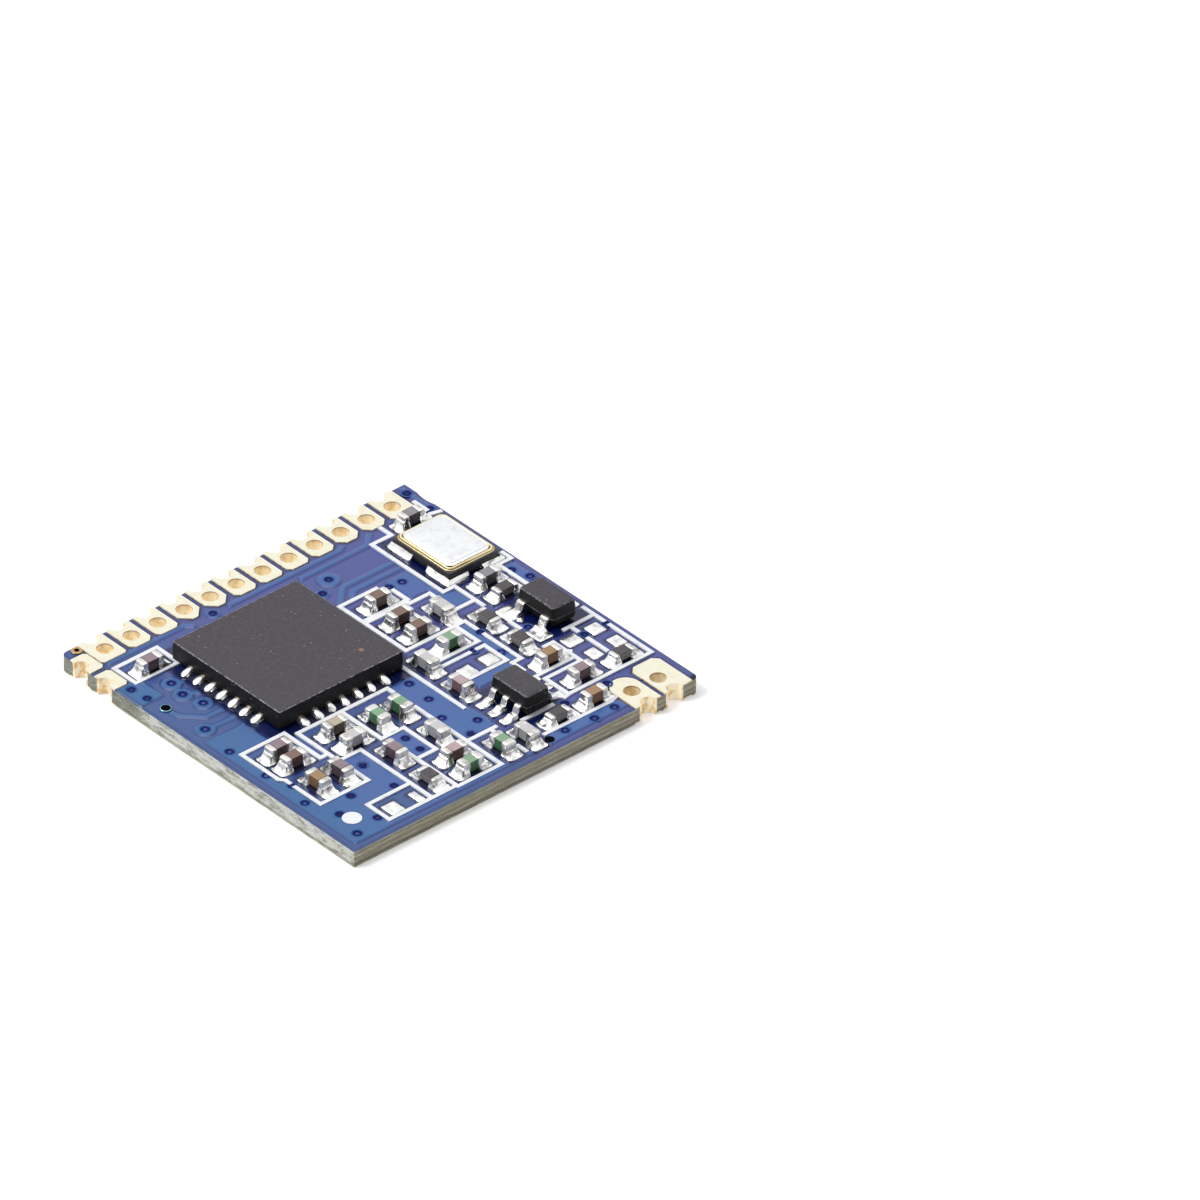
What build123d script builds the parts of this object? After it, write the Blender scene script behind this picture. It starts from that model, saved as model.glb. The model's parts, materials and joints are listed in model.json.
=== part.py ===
from build123d import *
import os
from dataclasses import dataclass
from math import atan2, degrees, hypot

# A small radio module: a two-sided circuit board with plated contacts along three edges, a
# transceiver chip, a crystal, a regulator, a radio switch and the chip parts round them.
# Sizes are in millimetres. Places on the board are measured from its front left corner, X along
# the front edge and Y to the back, as on a layout drawing. The model's own origin is the middle
# of the underside, with Z up.

# Board and its layers
right_margin = 0.36
laminate_thickness = 0.60
copper_thickness = 0.05
coating_thickness = 0.02
solder_thickness = 0.04
legend_thickness = 0.015
corner_radius = 0.28
coating_chip = (0.60, 0.26)
tab_hollow_depth = 0.08
tab_hollow_radius = 1.6
tab_hollow_inset = 1.22

# Edge contacts: a land on each face, a plated half hole in the edge and, on most, a plated hole
contact_pitch = 1.27
plated_bore = 0.65
plating = 0.04
strip_margin = 0.05
drilling_flat_count = 6
row_count = 12
row_start = 1.425
row_land_width = 1.05
row_land_length = 1.50
row_clearance = 0.20
row_hole_inset = 0.84
row_end_extra = 0.13
row_chamfers = (0.10, 0.20, 0.16, 0.40, 0.36, 0.18, 0.16, 0.16, 0.20, 0.28, 0.24, 0.12)
side_count = 2
side_start = 1.12
side_pitch = 1.36
side_land_width = 1.13
side_land_length = 0.70
side_chamfer = 0.12
output_hole_inset = 0.92
signal_inset = 2.50
signal_land_width = 1.22
signal_land_length = 1.85
shield_inset = 1.21
shield_land_left = 0.48
shield_land_right = 0.85
shield_land_length = 2.00
shield_chamfer = 0.22

# Two-terminal chip parts
rearmost_chip = 14.32
chip_length = 1.00
chip_width = 0.50
capacitor_height = 0.48
inductor_height = 0.48
resistor_height = 0.33
capacitor_cap = 0.26
inductor_cap = 0.24
resistor_cap = 0.22
cap_wall = 0.02
overcoat_thickness = 0.02
land_gap = 0.44
land_span = 1.66
land_width = 0.70
solder_rise_share = 0.70
solder_lip = 0.025
solder_knee_run = 0.30
solder_knee_rise = 0.24

# Transceiver chip in a flat leadless package
transceiver_place = (5.86, 10.43)
transceiver_size = 6.00
transceiver_height = 0.75
terminals_per_side = 7
terminal_pitch = 0.65
terminal_width = 0.28
terminal_length = 0.40
terminal_height = 0.20
terminal_land_toe = 0.38
terminal_land_heel = 0.50
terminal_rise = 0.19
terminal_window_margin = 0.10
ground_pad_clearance = 0.35

# Crystal in a ceramic package with a welded lid
crystal_place = (14.93, 11.98)
crystal_size = (2.50, 3.20)
crystal_ceramic_height = 0.36
crystal_corner_cut = 0.14
crystal_pad_size = (1.00, 1.10)
crystal_pad_thickness = 0.02
crystal_land_reach = (1.45, 1.76)
crystal_land_size = (1.12, 1.34)
crystal_solder_rise = 0.26
crystal_solder_draft = 38
seal_margin = 0.06
seal_height = 0.10
seal_width = 0.24
seal_corner = 0.30
lid_margin = 0.14
lid_thickness = 0.08

# Small moulded packages with bent leads
mould_size = (1.25, 2.05)
mould_upper = 0.48
mould_lower = 0.32
mould_draft = 9
mould_corner_cut = 0.08
mould_top_cut = 0.06
mould_standoff = 0.05
lead_thickness = 0.12
lead_knee = 0.13
lead_foot = 0.26
lead_reach = 0.44
lead_land_toe = 0.42
lead_land_heel = 0.03
lead_solder_rise = 0.15
switch_place = (10.78, 3.15)
switch_lead_pitch = 0.65
switch_leads_per_side = 3
switch_lead_width = 0.28
switch_land_width = 0.40
regulator_place = (15.22, 6.68)
regulator_lead_pitch = 1.30
regulator_lead_width = 0.38
regulator_land_width = 0.86
regulator_land_shift = 0.20
regulator_output_toe = 0.20

# Copper areas that the coating rides over
trace_width = 0.24

# Printed legend
legend_line = 0.17
mark_place = (1.27, 1.58)
mark_diameter = 0.74

# The board is as wide as the crystal's lands and the margin past them need, and as deep as the
# rearmost chip part and the row of contacts behind it need
board_width = crystal_place[0] + crystal_land_reach[0] + right_margin
board_depth = rearmost_chip + land_width / 2 + row_clearance + row_land_length
ground_pad_size = transceiver_size - 2 * (terminal_length + ground_pad_clearance)

# Heights of the layers above the underside
laminate_bottom = copper_thickness + coating_thickness
laminate_top = laminate_bottom + laminate_thickness
land_top = laminate_top + copper_thickness
low_coating_top = laminate_top + coating_thickness
high_coating_top = land_top + coating_thickness
legend_top = high_coating_top + legend_thickness
seat = land_top + solder_thickness

ALONG_X = 0
ALONG_Y = 90


@dataclass(frozen=True)
class Chip:
    """A two-terminal chip part: its name and the middle and direction of its footprint."""

    name: str
    x: float
    y: float
    turn: float


@dataclass(frozen=True)
class Contact:
    """An edge contact. Its own axes have the board's edge along X and the board towards +Y."""

    x: float
    y: float
    turn: float
    left: float
    right: float
    length: float
    chamfer: float
    hole_inset: float = 0
    round_end: bool = False


@dataclass(frozen=True)
class Lead:
    """A bent lead: its side of the package, its place along that side and the size of its land."""

    turn: float
    offset: float
    width: float
    land_width: float
    land_toe: float
    land_shift: float = 0


CAPACITORS = (
    Chip("c01", 1.86, 6.32, ALONG_X),
    Chip("c02", 1.86, 5.48, ALONG_X),
    Chip("c03", 1.67, 3.90, ALONG_Y),
    Chip("c04", 2.75, 3.90, ALONG_Y),
    Chip("c05", 4.35, 6.05, ALONG_X),
    Chip("c06", 4.98, 3.46, ALONG_Y),
    Chip("c07", 6.57, 2.03, ALONG_X),
    Chip("c08", 12.78, 1.36, ALONG_X),
    Chip("c09", 13.20, 4.30, ALONG_X),
    Chip("c10", 13.43, 2.78, ALONG_X),
    Chip("c11", 14.83, 9.55, ALONG_X),
    Chip("c12", 15.25, rearmost_chip, ALONG_X),
    Chip("c13", 10.82, 11.10, ALONG_X),
    Chip("c14", 10.72, 9.76, ALONG_X),
    Chip("c15", 10.72, 8.73, ALONG_X),
    Chip("c16", 9.55, 5.02, ALONG_Y),
    Chip("c17", 1.85, 13.50, ALONG_X),
)

RESISTORS = (
    Chip("r01", 4.95, 1.52, ALONG_Y),
    Chip("r02", 11.03, 1.36, ALONG_X),
    Chip("r03", 15.37, 2.72, ALONG_X),
    Chip("r04", 13.15, 7.63, ALONG_Y),
    Chip("r05", 13.15, 5.82, ALONG_Y),
    Chip("r06", 14.85, 8.62, ALONG_X),
)

INDUCTORS = (
    Chip("l01", 4.35, 5.05, ALONG_X),
    Chip("l02", 5.92, 5.48, ALONG_Y),
    Chip("l03", 7.00, 5.48, ALONG_Y),
    Chip("l04", 7.00, 3.43, ALONG_Y),
    Chip("l05", 6.53, 1.08, ALONG_X),
    Chip("l06", 8.27, 1.28, ALONG_Y),
    Chip("l07", 9.36, 1.17, ALONG_Y),
    Chip("l08", 12.22, 9.12, ALONG_Y),
    Chip("l09", 11.06, 7.38, ALONG_X),
    Chip("l10", 9.57, 6.95, ALONG_Y),
)

# Lands left bare, each by its two opposite corners
BARE_LANDS = (
    (2.50, 0.75, 3.14, 1.45),
    (3.76, 0.75, 4.10, 1.42),
    (10.20, 5.45, 10.84, 6.10),
    (11.30, 5.50, 11.94, 6.15),
    (14.35, 4.42, 15.08, 5.06),
    (15.52, 4.42, 16.18, 5.06),
    (14.52, 3.28, 15.04, 3.92),
    (15.66, 3.34, 16.22, 3.96),
)

# Lines of the legend, each a run of corners
LEGEND_LINES = (
    ((0.84, 13.10), (2.89, 13.10), (2.89, 14.32), (0.84, 14.32), (0.84, 13.10)),
    ((0.98, 4.70), (0.98, 4.92), (0.82, 5.14), (0.82, 7.17), (2.87, 7.17), (2.87, 5.16)),
    ((2.87, 5.16), (3.24, 5.16)),
    ((0.98, 4.36), (0.98, 2.97), (3.26, 2.97), (3.26, 3.86)),
    ((3.24, 4.60), (3.24, 6.85), (7.57, 6.85), (7.57, 6.55)),
    ((5.33, 6.85), (5.33, 4.60), (6.40, 4.60), (6.40, 2.82), (5.47, 2.82)),
    ((3.00, 4.58), (4.30, 4.58), (4.30, 0.63)),
    ((4.30, 1.84), (2.24, 1.84), (2.24, 0.63), (5.47, 0.63)),
    ((5.47, 3.30), (5.47, 0.56), (7.58, 0.56), (7.58, 5.30)),
    ((7.58, 2.46), (8.95, 2.46)),
    ((8.72, 2.46), (8.72, 2.18)),
    ((8.80, 1.02), (8.80, 0.60)),
    ((8.88, 4.12), (8.88, 7.50)),
    ((10.20, 5.34), (12.06, 5.34), (12.06, 6.58), (11.72, 6.58)),
    ((11.32, 6.58), (10.08, 6.58)),
    ((10.22, 6.92), (12.06, 6.92), (12.06, 8.20)),
    ((9.66, 8.20), (12.53, 8.20), (12.53, 7.56)),
    ((9.66, 8.20), (9.66, 11.90), (11.44, 11.90)),
    ((11.85, 11.40), (11.85, 10.62), (9.66, 10.62)),
    ((9.66, 10.48), (11.76, 10.48), (11.76, 10.38), (12.73, 10.38), (12.73, 10.12)),
    ((12.53, 7.10), (12.53, 5.08), (12.10, 5.08), (12.10, 4.46)),
    ((13.68, 5.08), (14.10, 5.08), (14.10, 3.54), (12.35, 3.54), (12.35, 2.26)),
    ((14.10, 4.34), (14.20, 4.26)),
    ((12.35, 3.88), (13.98, 3.88)),
    ((12.10, 2.20), (12.35, 2.26), (16.41, 2.26), (16.41, 4.54)),
    ((10.02, 2.14), (11.44, 2.14)),
    ((14.96, 5.42), (16.41, 5.42), (16.41, 6.00)),
    ((16.41, 4.90), (16.41, 5.42)),
    ((15.24, 5.42), (15.24, 5.02)),
    ((15.24, 4.42), (15.24, 3.42)),
    ((10.02, 0.94), (13.20, 0.90), (13.52, 1.00)),
    ((13.72, 8.54), (13.72, 10.12), (13.17, 10.12), (13.17, 14.13), (14.13, 14.13)),
    ((14.13, 14.13), (14.13, 14.72)),
    ((12.72, 8.98), (13.72, 8.98)),
    ((15.80, 10.12), (16.50, 10.12), (16.50, 10.60)),
    ((15.86, 10.12), (15.86, 8.54)),
    ((13.76, 7.05), (13.76, 6.55)),
    ((16.20, 15.18), (16.20, 14.52)),
    ((16.14, 14.22), (16.52, 14.12)),
)

# Areas of ground copper near the top face, each by its two opposite corners
COPPER_AREAS = (
    (0.33, 0.33, 0.90, 4.95),
    (0.33, 4.95, 0.74, 8.65),
    (0.90, 0.33, 2.15, 2.89),
    (2.15, 1.93, 4.21, 2.89),
    (3.36, 2.89, 4.21, 4.49),
    (2.15, 0.33, 13.55, 0.54),
    (10.02, 0.54, 13.55, 0.84),
    (0.74, 7.27, 2.20, 8.65),
    (0.04, 11.86, 1.12, 13.28),
    (5.56, 2.91, 6.31, 4.51),
    (7.67, 2.56, 8.79, 6.90),
    (8.79, 2.56, 9.10, 4.00),
    (10.16, 4.70, 12.00, 5.24),
    (12.16, 5.18, 12.43, 8.10),
    (12.00, 10.60, 13.07, 12.06),
    (12.84, 9.08, 13.62, 10.02),
    (12.84, 10.02, 13.07, 10.60),
    (15.96, 8.56, 16.40, 10.02),
    (16.30, 14.30, 16.52, 16.20),
)

# Traces that show through the coating, each a run of corners
TRACES = (
    ((0.84, 14.74), (4.56, 14.74), (4.86, 14.46)),
    ((6.60, 14.66), (12.10, 14.66), (12.34, 14.84)),
    ((9.72, 14.23), (13.02, 14.23), (13.60, 14.76)),
    ((13.02, 12.79), (10.56, 12.79), (9.74, 11.98)),
    ((13.02, 12.37), (10.72, 12.37), (10.40, 12.06)),
    ((0.65, 10.92), (0.72, 10.56), (1.42, 9.84), (2.24, 9.80)),
)


def at(x, y, z=0.0, turn=0.0):
    """The place of a point of the layout in the model's own axes."""
    return Pos(x - board_width / 2, y - board_depth / 2, z) * Rot(0, 0, turn)


def patch(x0, y0, x1, y1):
    """A flat rectangle between two corners of the layout."""
    return at((x0 + x1) / 2, (y0 + y1) / 2) * Rectangle(x1 - x0, y1 - y0)


def stroke(start, end, width):
    """A straight line of the layout with square ends, as a flat shape."""
    run = (end[0] - start[0], end[1] - start[1])
    middle = at((start[0] + end[0]) / 2, (start[1] + end[1]) / 2, 0, degrees(atan2(run[1], run[0])))
    return middle * Rectangle(hypot(*run) + width, width)


def strokes(lines, width):
    """Every straight stretch of some lines of the layout."""
    return [stroke(a, b, width) for points in lines for a, b in zip(points, points[1:])]


def joined(shapes):
    """Flat shapes as one."""
    return Sketch() + list(shapes)


def slab(flat, bottom, top):
    """A flat shape made solid between two heights."""
    return Pos(0, 0, bottom) * extrude(flat, amount=top - bottom)


def along_y(profile, width):
    """A profile drawn in X and Z, made solid evenly to both sides in Y."""
    return extrude(Plane.XZ * profile, amount=width / 2, both=True)


def on_both_ends(solids):
    """Solids at a part's +X end, and the same turned to its -X end."""
    return [Rot(0, 0, turn) * solid for turn in (0, 180) for solid in solids]


# Edge contacts


def edge_contacts():
    """The back row, the left pair and the radio output pair."""
    row = []
    for i in range(row_count):
        first, last = i == 0, i == row_count - 1
        row.append(
            Contact(
                x=row_start + i * contact_pitch,
                y=board_depth,
                turn=180,
                left=row_land_width / 2 + (row_end_extra if last else 0),
                right=row_land_width / 2 + (row_end_extra if first else 0),
                length=row_land_length,
                chamfer=row_chamfers[i % len(row_chamfers)],
                hole_inset=row_hole_inset,
            )
        )
    side = [
        Contact(
            x=0,
            y=board_depth - side_start - i * side_pitch,
            turn=-90,
            left=side_land_width / 2,
            right=side_land_width / 2,
            length=side_land_length,
            chamfer=side_chamfer,
        )
        for i in range(side_count)
    ]
    signal = Contact(
        x=board_width - signal_inset,
        y=0,
        turn=0,
        left=signal_land_width / 2,
        right=signal_land_width / 2,
        length=signal_land_length,
        chamfer=0,
        hole_inset=output_hole_inset,
        round_end=True,
    )
    shield = Contact(
        x=board_width - shield_inset,
        y=0,
        turn=0,
        left=shield_land_left,
        right=shield_land_right,
        length=shield_land_length,
        chamfer=shield_chamfer,
        hole_inset=output_hole_inset,
    )
    return row, side, [signal, shield]


def land_outline(contact):
    """The outline of a contact's land in its own axes, before its holes."""
    left, right, length, cut = contact.left, contact.right, contact.length, contact.chamfer
    if contact.round_end:
        radius = (left + right) / 2
        middle = Pos((right - left) / 2, (length - radius) / 2)
        end = Pos((right - left) / 2, length - radius) * Circle(radius)
        return middle * Rectangle(left + right, length - radius) + end
    corners = (
        (-left, 0),
        (right, 0),
        (right, length - cut),
        (right - cut, length),
        (cut - left, length),
        (-left, length - cut),
    )
    return make_face(Polyline(*corners, close=True))


def at_holes(contact, flat):
    """A flat shape on the axis of each of a contact's holes, in its own axes."""
    insets = [0] + ([contact.hole_inset] if contact.hole_inset else [])
    return [Pos(0, inset) * flat for inset in insets]


def drilling():
    """A drilling in the laminate, which the back of the plating fills.

    The two meet out of sight, so they are drawn with a few flats round the plated bore.
    """
    return RegularPolygon(plated_bore / 2 + plating, drilling_flat_count, major_radius=False)


def contact_solid(contact):
    """A contact: both lands and the plating that joins them through its holes."""
    bores = at_holes(contact, Circle(plated_bore / 2))
    off_board = Pos(0, -board_depth / 2) * Rectangle(board_width, board_depth)
    land = land_outline(contact) - bores
    walls = joined(at_holes(contact, drilling())) - [*bores, off_board]
    solid = slab(land, laminate_bottom - copper_thickness, laminate_bottom)
    solid += slab(walls, laminate_bottom, laminate_top)
    solid += slab(land, laminate_top, land_top)
    return at(contact.x, contact.y, 0, contact.turn) * solid


def on_layout(contact, flats):
    """A contact's flat shapes moved to their place on the layout."""
    return [at(contact.x, contact.y, 0, contact.turn) * flat for flat in flats]


# Board


def board_outline():
    """The outline of the laminate, with the corners worn round and the hollow of a snapped tab."""
    outline = Rectangle(board_width, board_depth)
    worn = outline.vertices().filter_by(lambda v: (v.X < 0) == (v.Y > 0))
    outline = fillet(worn, corner_radius)
    away = board_width + tab_hollow_radius - tab_hollow_depth
    hollow = at(away, board_depth - tab_hollow_inset) * Circle(tab_hollow_radius)
    return outline - hollow


def drilled(outline, contacts):
    """The laminate's outline less the drillings for every plated hole."""
    holes = []
    for contact in contacts:
        holes += on_layout(contact, at_holes(contact, drilling()))
    return outline - holes


# Lands that the parts are soldered to, and the coating's windows round them


def terminal_places():
    """The place and outward direction of each terminal of the transceiver, in its own axes."""
    for turn in (0, 90, 180, 270):
        for i in range(terminals_per_side):
            offset = (i - (terminals_per_side - 1) / 2) * terminal_pitch
            yield Rot(0, 0, turn) * Pos(transceiver_size / 2, offset)


def transceiver_windows():
    """The openings in the coating under the transceiver: one along each side and the middle."""
    length = terminal_land_toe + terminal_land_heel
    width = (terminals_per_side - 1) * terminal_pitch + terminal_width + 2 * terminal_window_margin
    middle = Pos((transceiver_size + terminal_land_toe - terminal_land_heel) / 2, 0)
    sides = [Rot(0, 0, turn) * middle * Rectangle(length, width) for turn in (0, 90, 180, 270)]
    return sides + [Rectangle(ground_pad_size, ground_pad_size)]


def crystal_corners():
    """The signs of X and Y at each corner of the crystal."""
    return [(sx, sy) for sx in (-1, 1) for sy in (-1, 1)]


def crystal_lands():
    """The crystal's four lands, which reach out past its corners, in its own axes."""
    lands = []
    for sx, sy in crystal_corners():
        x = sx * (crystal_land_reach[0] - crystal_land_size[0] / 2)
        y = sy * (crystal_land_reach[1] - crystal_land_size[1] / 2)
        lands.append(Pos(x, y) * Rectangle(*crystal_land_size))
    return lands


def lead_offsets(pitch, per_side):
    """How far each lead of one side lies from the middle of that side."""
    return [(i - (per_side - 1) / 2) * pitch for i in range(per_side)]


def switch_leads():
    """The six leads of the radio switch."""
    offsets = lead_offsets(switch_lead_pitch, switch_leads_per_side)
    sizes = (switch_lead_width, switch_land_width, lead_land_toe)
    return [Lead(turn, y, *sizes) for turn in (0, 180) for y in offsets]


def regulator_leads():
    """The regulator's lead on the right and its two wider spaced leads on the left."""
    widths = (regulator_lead_width, regulator_land_width)
    leads = [Lead(0, 0, *widths, regulator_output_toe)]
    for y in lead_offsets(regulator_lead_pitch, 2):
        shift = regulator_land_shift if y > 0 else -regulator_land_shift
        leads.append(Lead(180, y, *widths, lead_land_toe, shift))
    return leads


def lead_tip():
    """How far a lead's tip stands from the middle of its package."""
    return mould_size[0] / 2 + lead_reach


def lead_land_span(lead):
    """Where a lead's land starts and ends along the lead."""
    return lead_tip() - lead_foot - lead_land_heel, lead_tip() + lead.land_toe


def lead_lands(leads):
    """The lands of a package's leads, in the package's own axes."""
    lands = []
    for lead in leads:
        start, end = lead_land_span(lead)
        middle = Pos((start + end) / 2, lead.offset + lead.land_shift)
        lands.append(Rot(0, 0, lead.turn) * middle * Rectangle(end - start, lead.land_width))
    return lands


def coating_windows():
    """The openings that the coating leaves for the soldered parts, on the layout."""
    windows = []
    for chip in (*CAPACITORS, *RESISTORS, *INDUCTORS):
        windows.append(at(chip.x, chip.y, 0, chip.turn) * Rectangle(land_span, land_width))
    windows += [at(*transceiver_place) * window for window in transceiver_windows()]
    windows += [at(*crystal_place) * land for land in crystal_lands()]
    windows += [at(*switch_place) * land for land in lead_lands(switch_leads())]
    windows += [at(*regulator_place) * land for land in lead_lands(regulator_leads())]
    return windows


# Coating and legend


def coating_area(outline, contacts, windows):
    """The part of a face that the coating covers: all but the contacts and its windows."""
    gaps = list(windows)
    for contact in contacts:
        gaps += on_layout(contact, [land_outline(contact)])
    return outline - gaps


def contact_strips(contacts):
    """The straight strips along the edges that the bottom coating leaves for the contacts."""
    strips = []
    for contact in contacts:
        width = contact.left + contact.right + 2 * strip_margin
        middle = Pos((contact.right - contact.left) / 2, contact.length / 2)
        strips += on_layout(contact, [middle * Rectangle(width, contact.length)])
    return strips


def chipped_corner():
    """The triangle of coating that broke off at the front right corner."""
    across, up = coating_chip
    corner = Polyline((-across, 0), (0, 0), (0, up), close=True)
    return at(board_width, 0) * make_face(corner)


def raised_area(coated):
    """Where the coating rides over copper areas and traces."""
    copper = [patch(*area) for area in COPPER_AREAS]
    start = at(0, 0)
    copper += [start * trace(Polyline(*points), trace_width) for points in TRACES]
    return joined(copper) & coated


def legend_area(coated):
    """The printed lines and the round mark, clear of every land."""
    lines = strokes(LEGEND_LINES, legend_line)
    mark = at(*mark_place) * Circle(mark_diameter / 2)
    return joined([*lines, mark]) & coated


# Parts


def solder_joint(heel, end, toe, width, rise, hollow=False):
    """A soldered land: the land, a thin bed from heel to toe and a slope up to the part.

    Heights start at the land's top face. The part's end stands at the given X. A hollow slope
    bends at a knee.
    """
    corners = [
        (end, rise),
        (end, solder_thickness),
        (heel, solder_thickness),
        (heel, -copper_thickness),
        (toe, -copper_thickness),
        (toe, solder_lip),
    ]
    if hollow:
        run, climb = toe - end, rise - solder_lip
        corners.append((end + solder_knee_run * run, solder_lip + solder_knee_rise * climb))
    return along_y(make_face(Polyline(*corners, close=True)), width)


def chip_core(height, wrap):
    """The body of a chip part between its caps, in its own axes with Z from its seat."""
    size = (chip_length - 2 * wrap, chip_width - 2 * cap_wall, height - 2 * cap_wall)
    return Pos(0, 0, height / 2) * Box(*size)


def end_caps(height, wrap):
    """The two metal caps that wrap the ends of a chip part."""
    return on_both_ends([Pos((chip_length - wrap) / 2, 0, height / 2) * Box(wrap, chip_width, height)])


def overcoat():
    """The dark glass coat between a resistor's caps."""
    length = chip_length - 2 * resistor_cap
    top = resistor_height - cap_wall
    strip = Rectangle(length, chip_width - 2 * cap_wall)
    return slab(strip, top, top + overcoat_thickness)


def chip_joints(height):
    """The two solder joints of a chip part, with Z from the top of its lands."""
    rise = solder_thickness + solder_rise_share * height
    joint = solder_joint(land_gap / 2, chip_length / 2, land_span / 2, land_width, rise, True)
    return on_both_ends([joint])


def transceiver_parts():
    """The transceiver's moulded body, its terminals and its ground pad, with Z from its seat."""
    size = (terminal_length, terminal_width, terminal_height)
    terminal = Pos(-terminal_length / 2, 0, terminal_height / 2) * Box(*size)
    terminals = [place * terminal for place in terminal_places()]
    pad = slab(Rectangle(ground_pad_size, ground_pad_size), 0, terminal_height)
    body = slab(Rectangle(transceiver_size, transceiver_size), 0, transceiver_height)
    return body - [*terminals, pad], terminals, pad


def transceiver_joints():
    """The joints of the transceiver's terminals and ground pad, with Z from the land tops."""
    rise = solder_thickness + terminal_rise
    joint = solder_joint(-terminal_land_heel, 0, terminal_land_toe, terminal_width, rise)
    bed = slab(Rectangle(ground_pad_size, ground_pad_size), -copper_thickness, solder_thickness)
    return [place * joint for place in terminal_places()] + [bed]


def rounded(size, radius):
    """A rectangle with round corners."""
    return RectangleRounded(size[0], size[1], radius)


def grown(size, margin):
    """A size made larger by a margin on every side."""
    return (size[0] + 2 * margin, size[1] + 2 * margin)


def crystal_parts():
    """The crystal's ceramic base, seal ring, lid and solder pads, with Z from its seat."""
    base_top = crystal_pad_thickness + crystal_ceramic_height
    plan = Rectangle(*crystal_size)
    plan = chamfer(plan.vertices(), crystal_corner_cut)
    base = slab(plan, crystal_pad_thickness, base_top)
    outer = grown(crystal_size, -seal_margin)
    window = Rectangle(*grown(outer, -seal_width))
    ring_top = base_top + seal_height
    ring = slab(rounded(outer, seal_corner) - window, base_top, ring_top)
    lid_plan = rounded(grown(outer, -lid_margin), seal_corner)
    lid = slab(lid_plan, ring_top, ring_top + lid_thickness)
    pads = []
    for sx, sy in crystal_corners():
        x = sx * (crystal_size[0] - crystal_pad_size[0]) / 2
        y = sy * (crystal_size[1] - crystal_pad_size[1]) / 2
        pad = slab(Rectangle(*crystal_pad_size), 0, crystal_pad_thickness)
        pads.append((Pos(x, y) * pad) & slab(plan, 0, crystal_pad_thickness))
    return base, ring, lid, pads


def crystal_joints():
    """The crystal's soldered lands: a bed on each and a slope round the corner above it."""
    clear = chamfer(Rectangle(*crystal_size).vertices(), crystal_corner_cut)
    part = slab(clear, solder_thickness, solder_thickness + crystal_solder_rise)
    joints = []
    for land in crystal_lands():
        heap = extrude(land, amount=crystal_solder_rise, taper=crystal_solder_draft)
        bed = slab(land, -copper_thickness, solder_lip)
        joints.append(bed + Pos(0, 0, solder_lip) * heap - part)
    return joints


def mould():
    """A moulded package body, which slopes in above and below its parting line."""
    parting = mould_standoff + mould_lower
    plan = chamfer(Rectangle(*mould_size).vertices(), mould_corner_cut)
    upper = extrude(plan, amount=mould_upper, taper=mould_draft)
    upper = chamfer(upper.faces().sort_by(Axis.Z)[-1].edges(), mould_top_cut)
    lower = extrude(plan, amount=mould_lower, dir=(0, 0, -1), taper=mould_draft)
    return Pos(0, 0, parting) * (upper + lower)


def bent_lead(width):
    """A lead with Z from its seat: out of the side, down and out again to a flat foot."""
    side, tip = mould_size[0] / 2, lead_tip()
    exit_height = mould_standoff + mould_lower
    foot_height = lead_thickness / 2
    path = Polyline(
        (0, exit_height),
        (side + lead_knee, exit_height),
        (tip - lead_foot, foot_height),
        (tip, foot_height),
    )
    return along_y(trace(path, lead_thickness), width) - mould()


def lead_solids(leads):
    """The leads of a package, in its own axes."""
    places = [Rot(0, 0, lead.turn) * Pos(0, lead.offset) for lead in leads]
    return [place * bent_lead(lead.width) for place, lead in zip(places, leads)]


def lead_joints(leads):
    """The joints of a package's leads, with Z from the top of their lands."""
    joints = []
    for lead in leads:
        start, end = lead_land_span(lead)
        rise = solder_thickness + lead_solder_rise
        joint = solder_joint(start, lead_tip(), end, lead.land_width, rise)
        place = Rot(0, 0, lead.turn) * Pos(0, lead.offset + lead.land_shift)
        joints.append(place * joint)
    return joints


# Assembly

NODES = {}


def add(name, place, solids):
    """Put solids into a node, at one place of the layout."""
    NODES.setdefault(name, []).extend(place * solid for solid in solids)


def add_board():
    """The laminate, its contacts, bare lands, coatings and legend."""
    row, side, output = edge_contacts()
    contacts = row + side + output
    outline = board_outline()
    here = Pos(0, 0, 0)
    laminate = slab(drilled(outline, contacts), laminate_bottom, laminate_top)
    add("board_laminate", here, [laminate])
    add("row_contacts", here, [contact_solid(contact) for contact in row])
    add("side_contacts", here, [contact_solid(contact) for contact in side])
    add("radio_output_contacts", here, [contact_solid(contact) for contact in output])

    bare = [patch(*land) for land in BARE_LANDS]
    add("bare_lands", here, [slab(land, laminate_top, land_top) for land in bare])

    under = outline - contact_strips(contacts)
    add("bottom_coating", here, [slab(under, 0, laminate_bottom)])
    windows = coating_windows()
    coated = coating_area(outline, contacts, windows + bare) - chipped_corner()
    raised = raised_area(coated)
    coating = slab(coated, laminate_top, low_coating_top)
    coating += slab(raised, low_coating_top, high_coating_top)
    add("top_coating", here, [coating])
    printed = legend_area(coated)
    legend = slab(printed - raised, low_coating_top, legend_top)
    legend += slab(printed & raised, high_coating_top, legend_top)
    add("legend", here, [legend])


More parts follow.
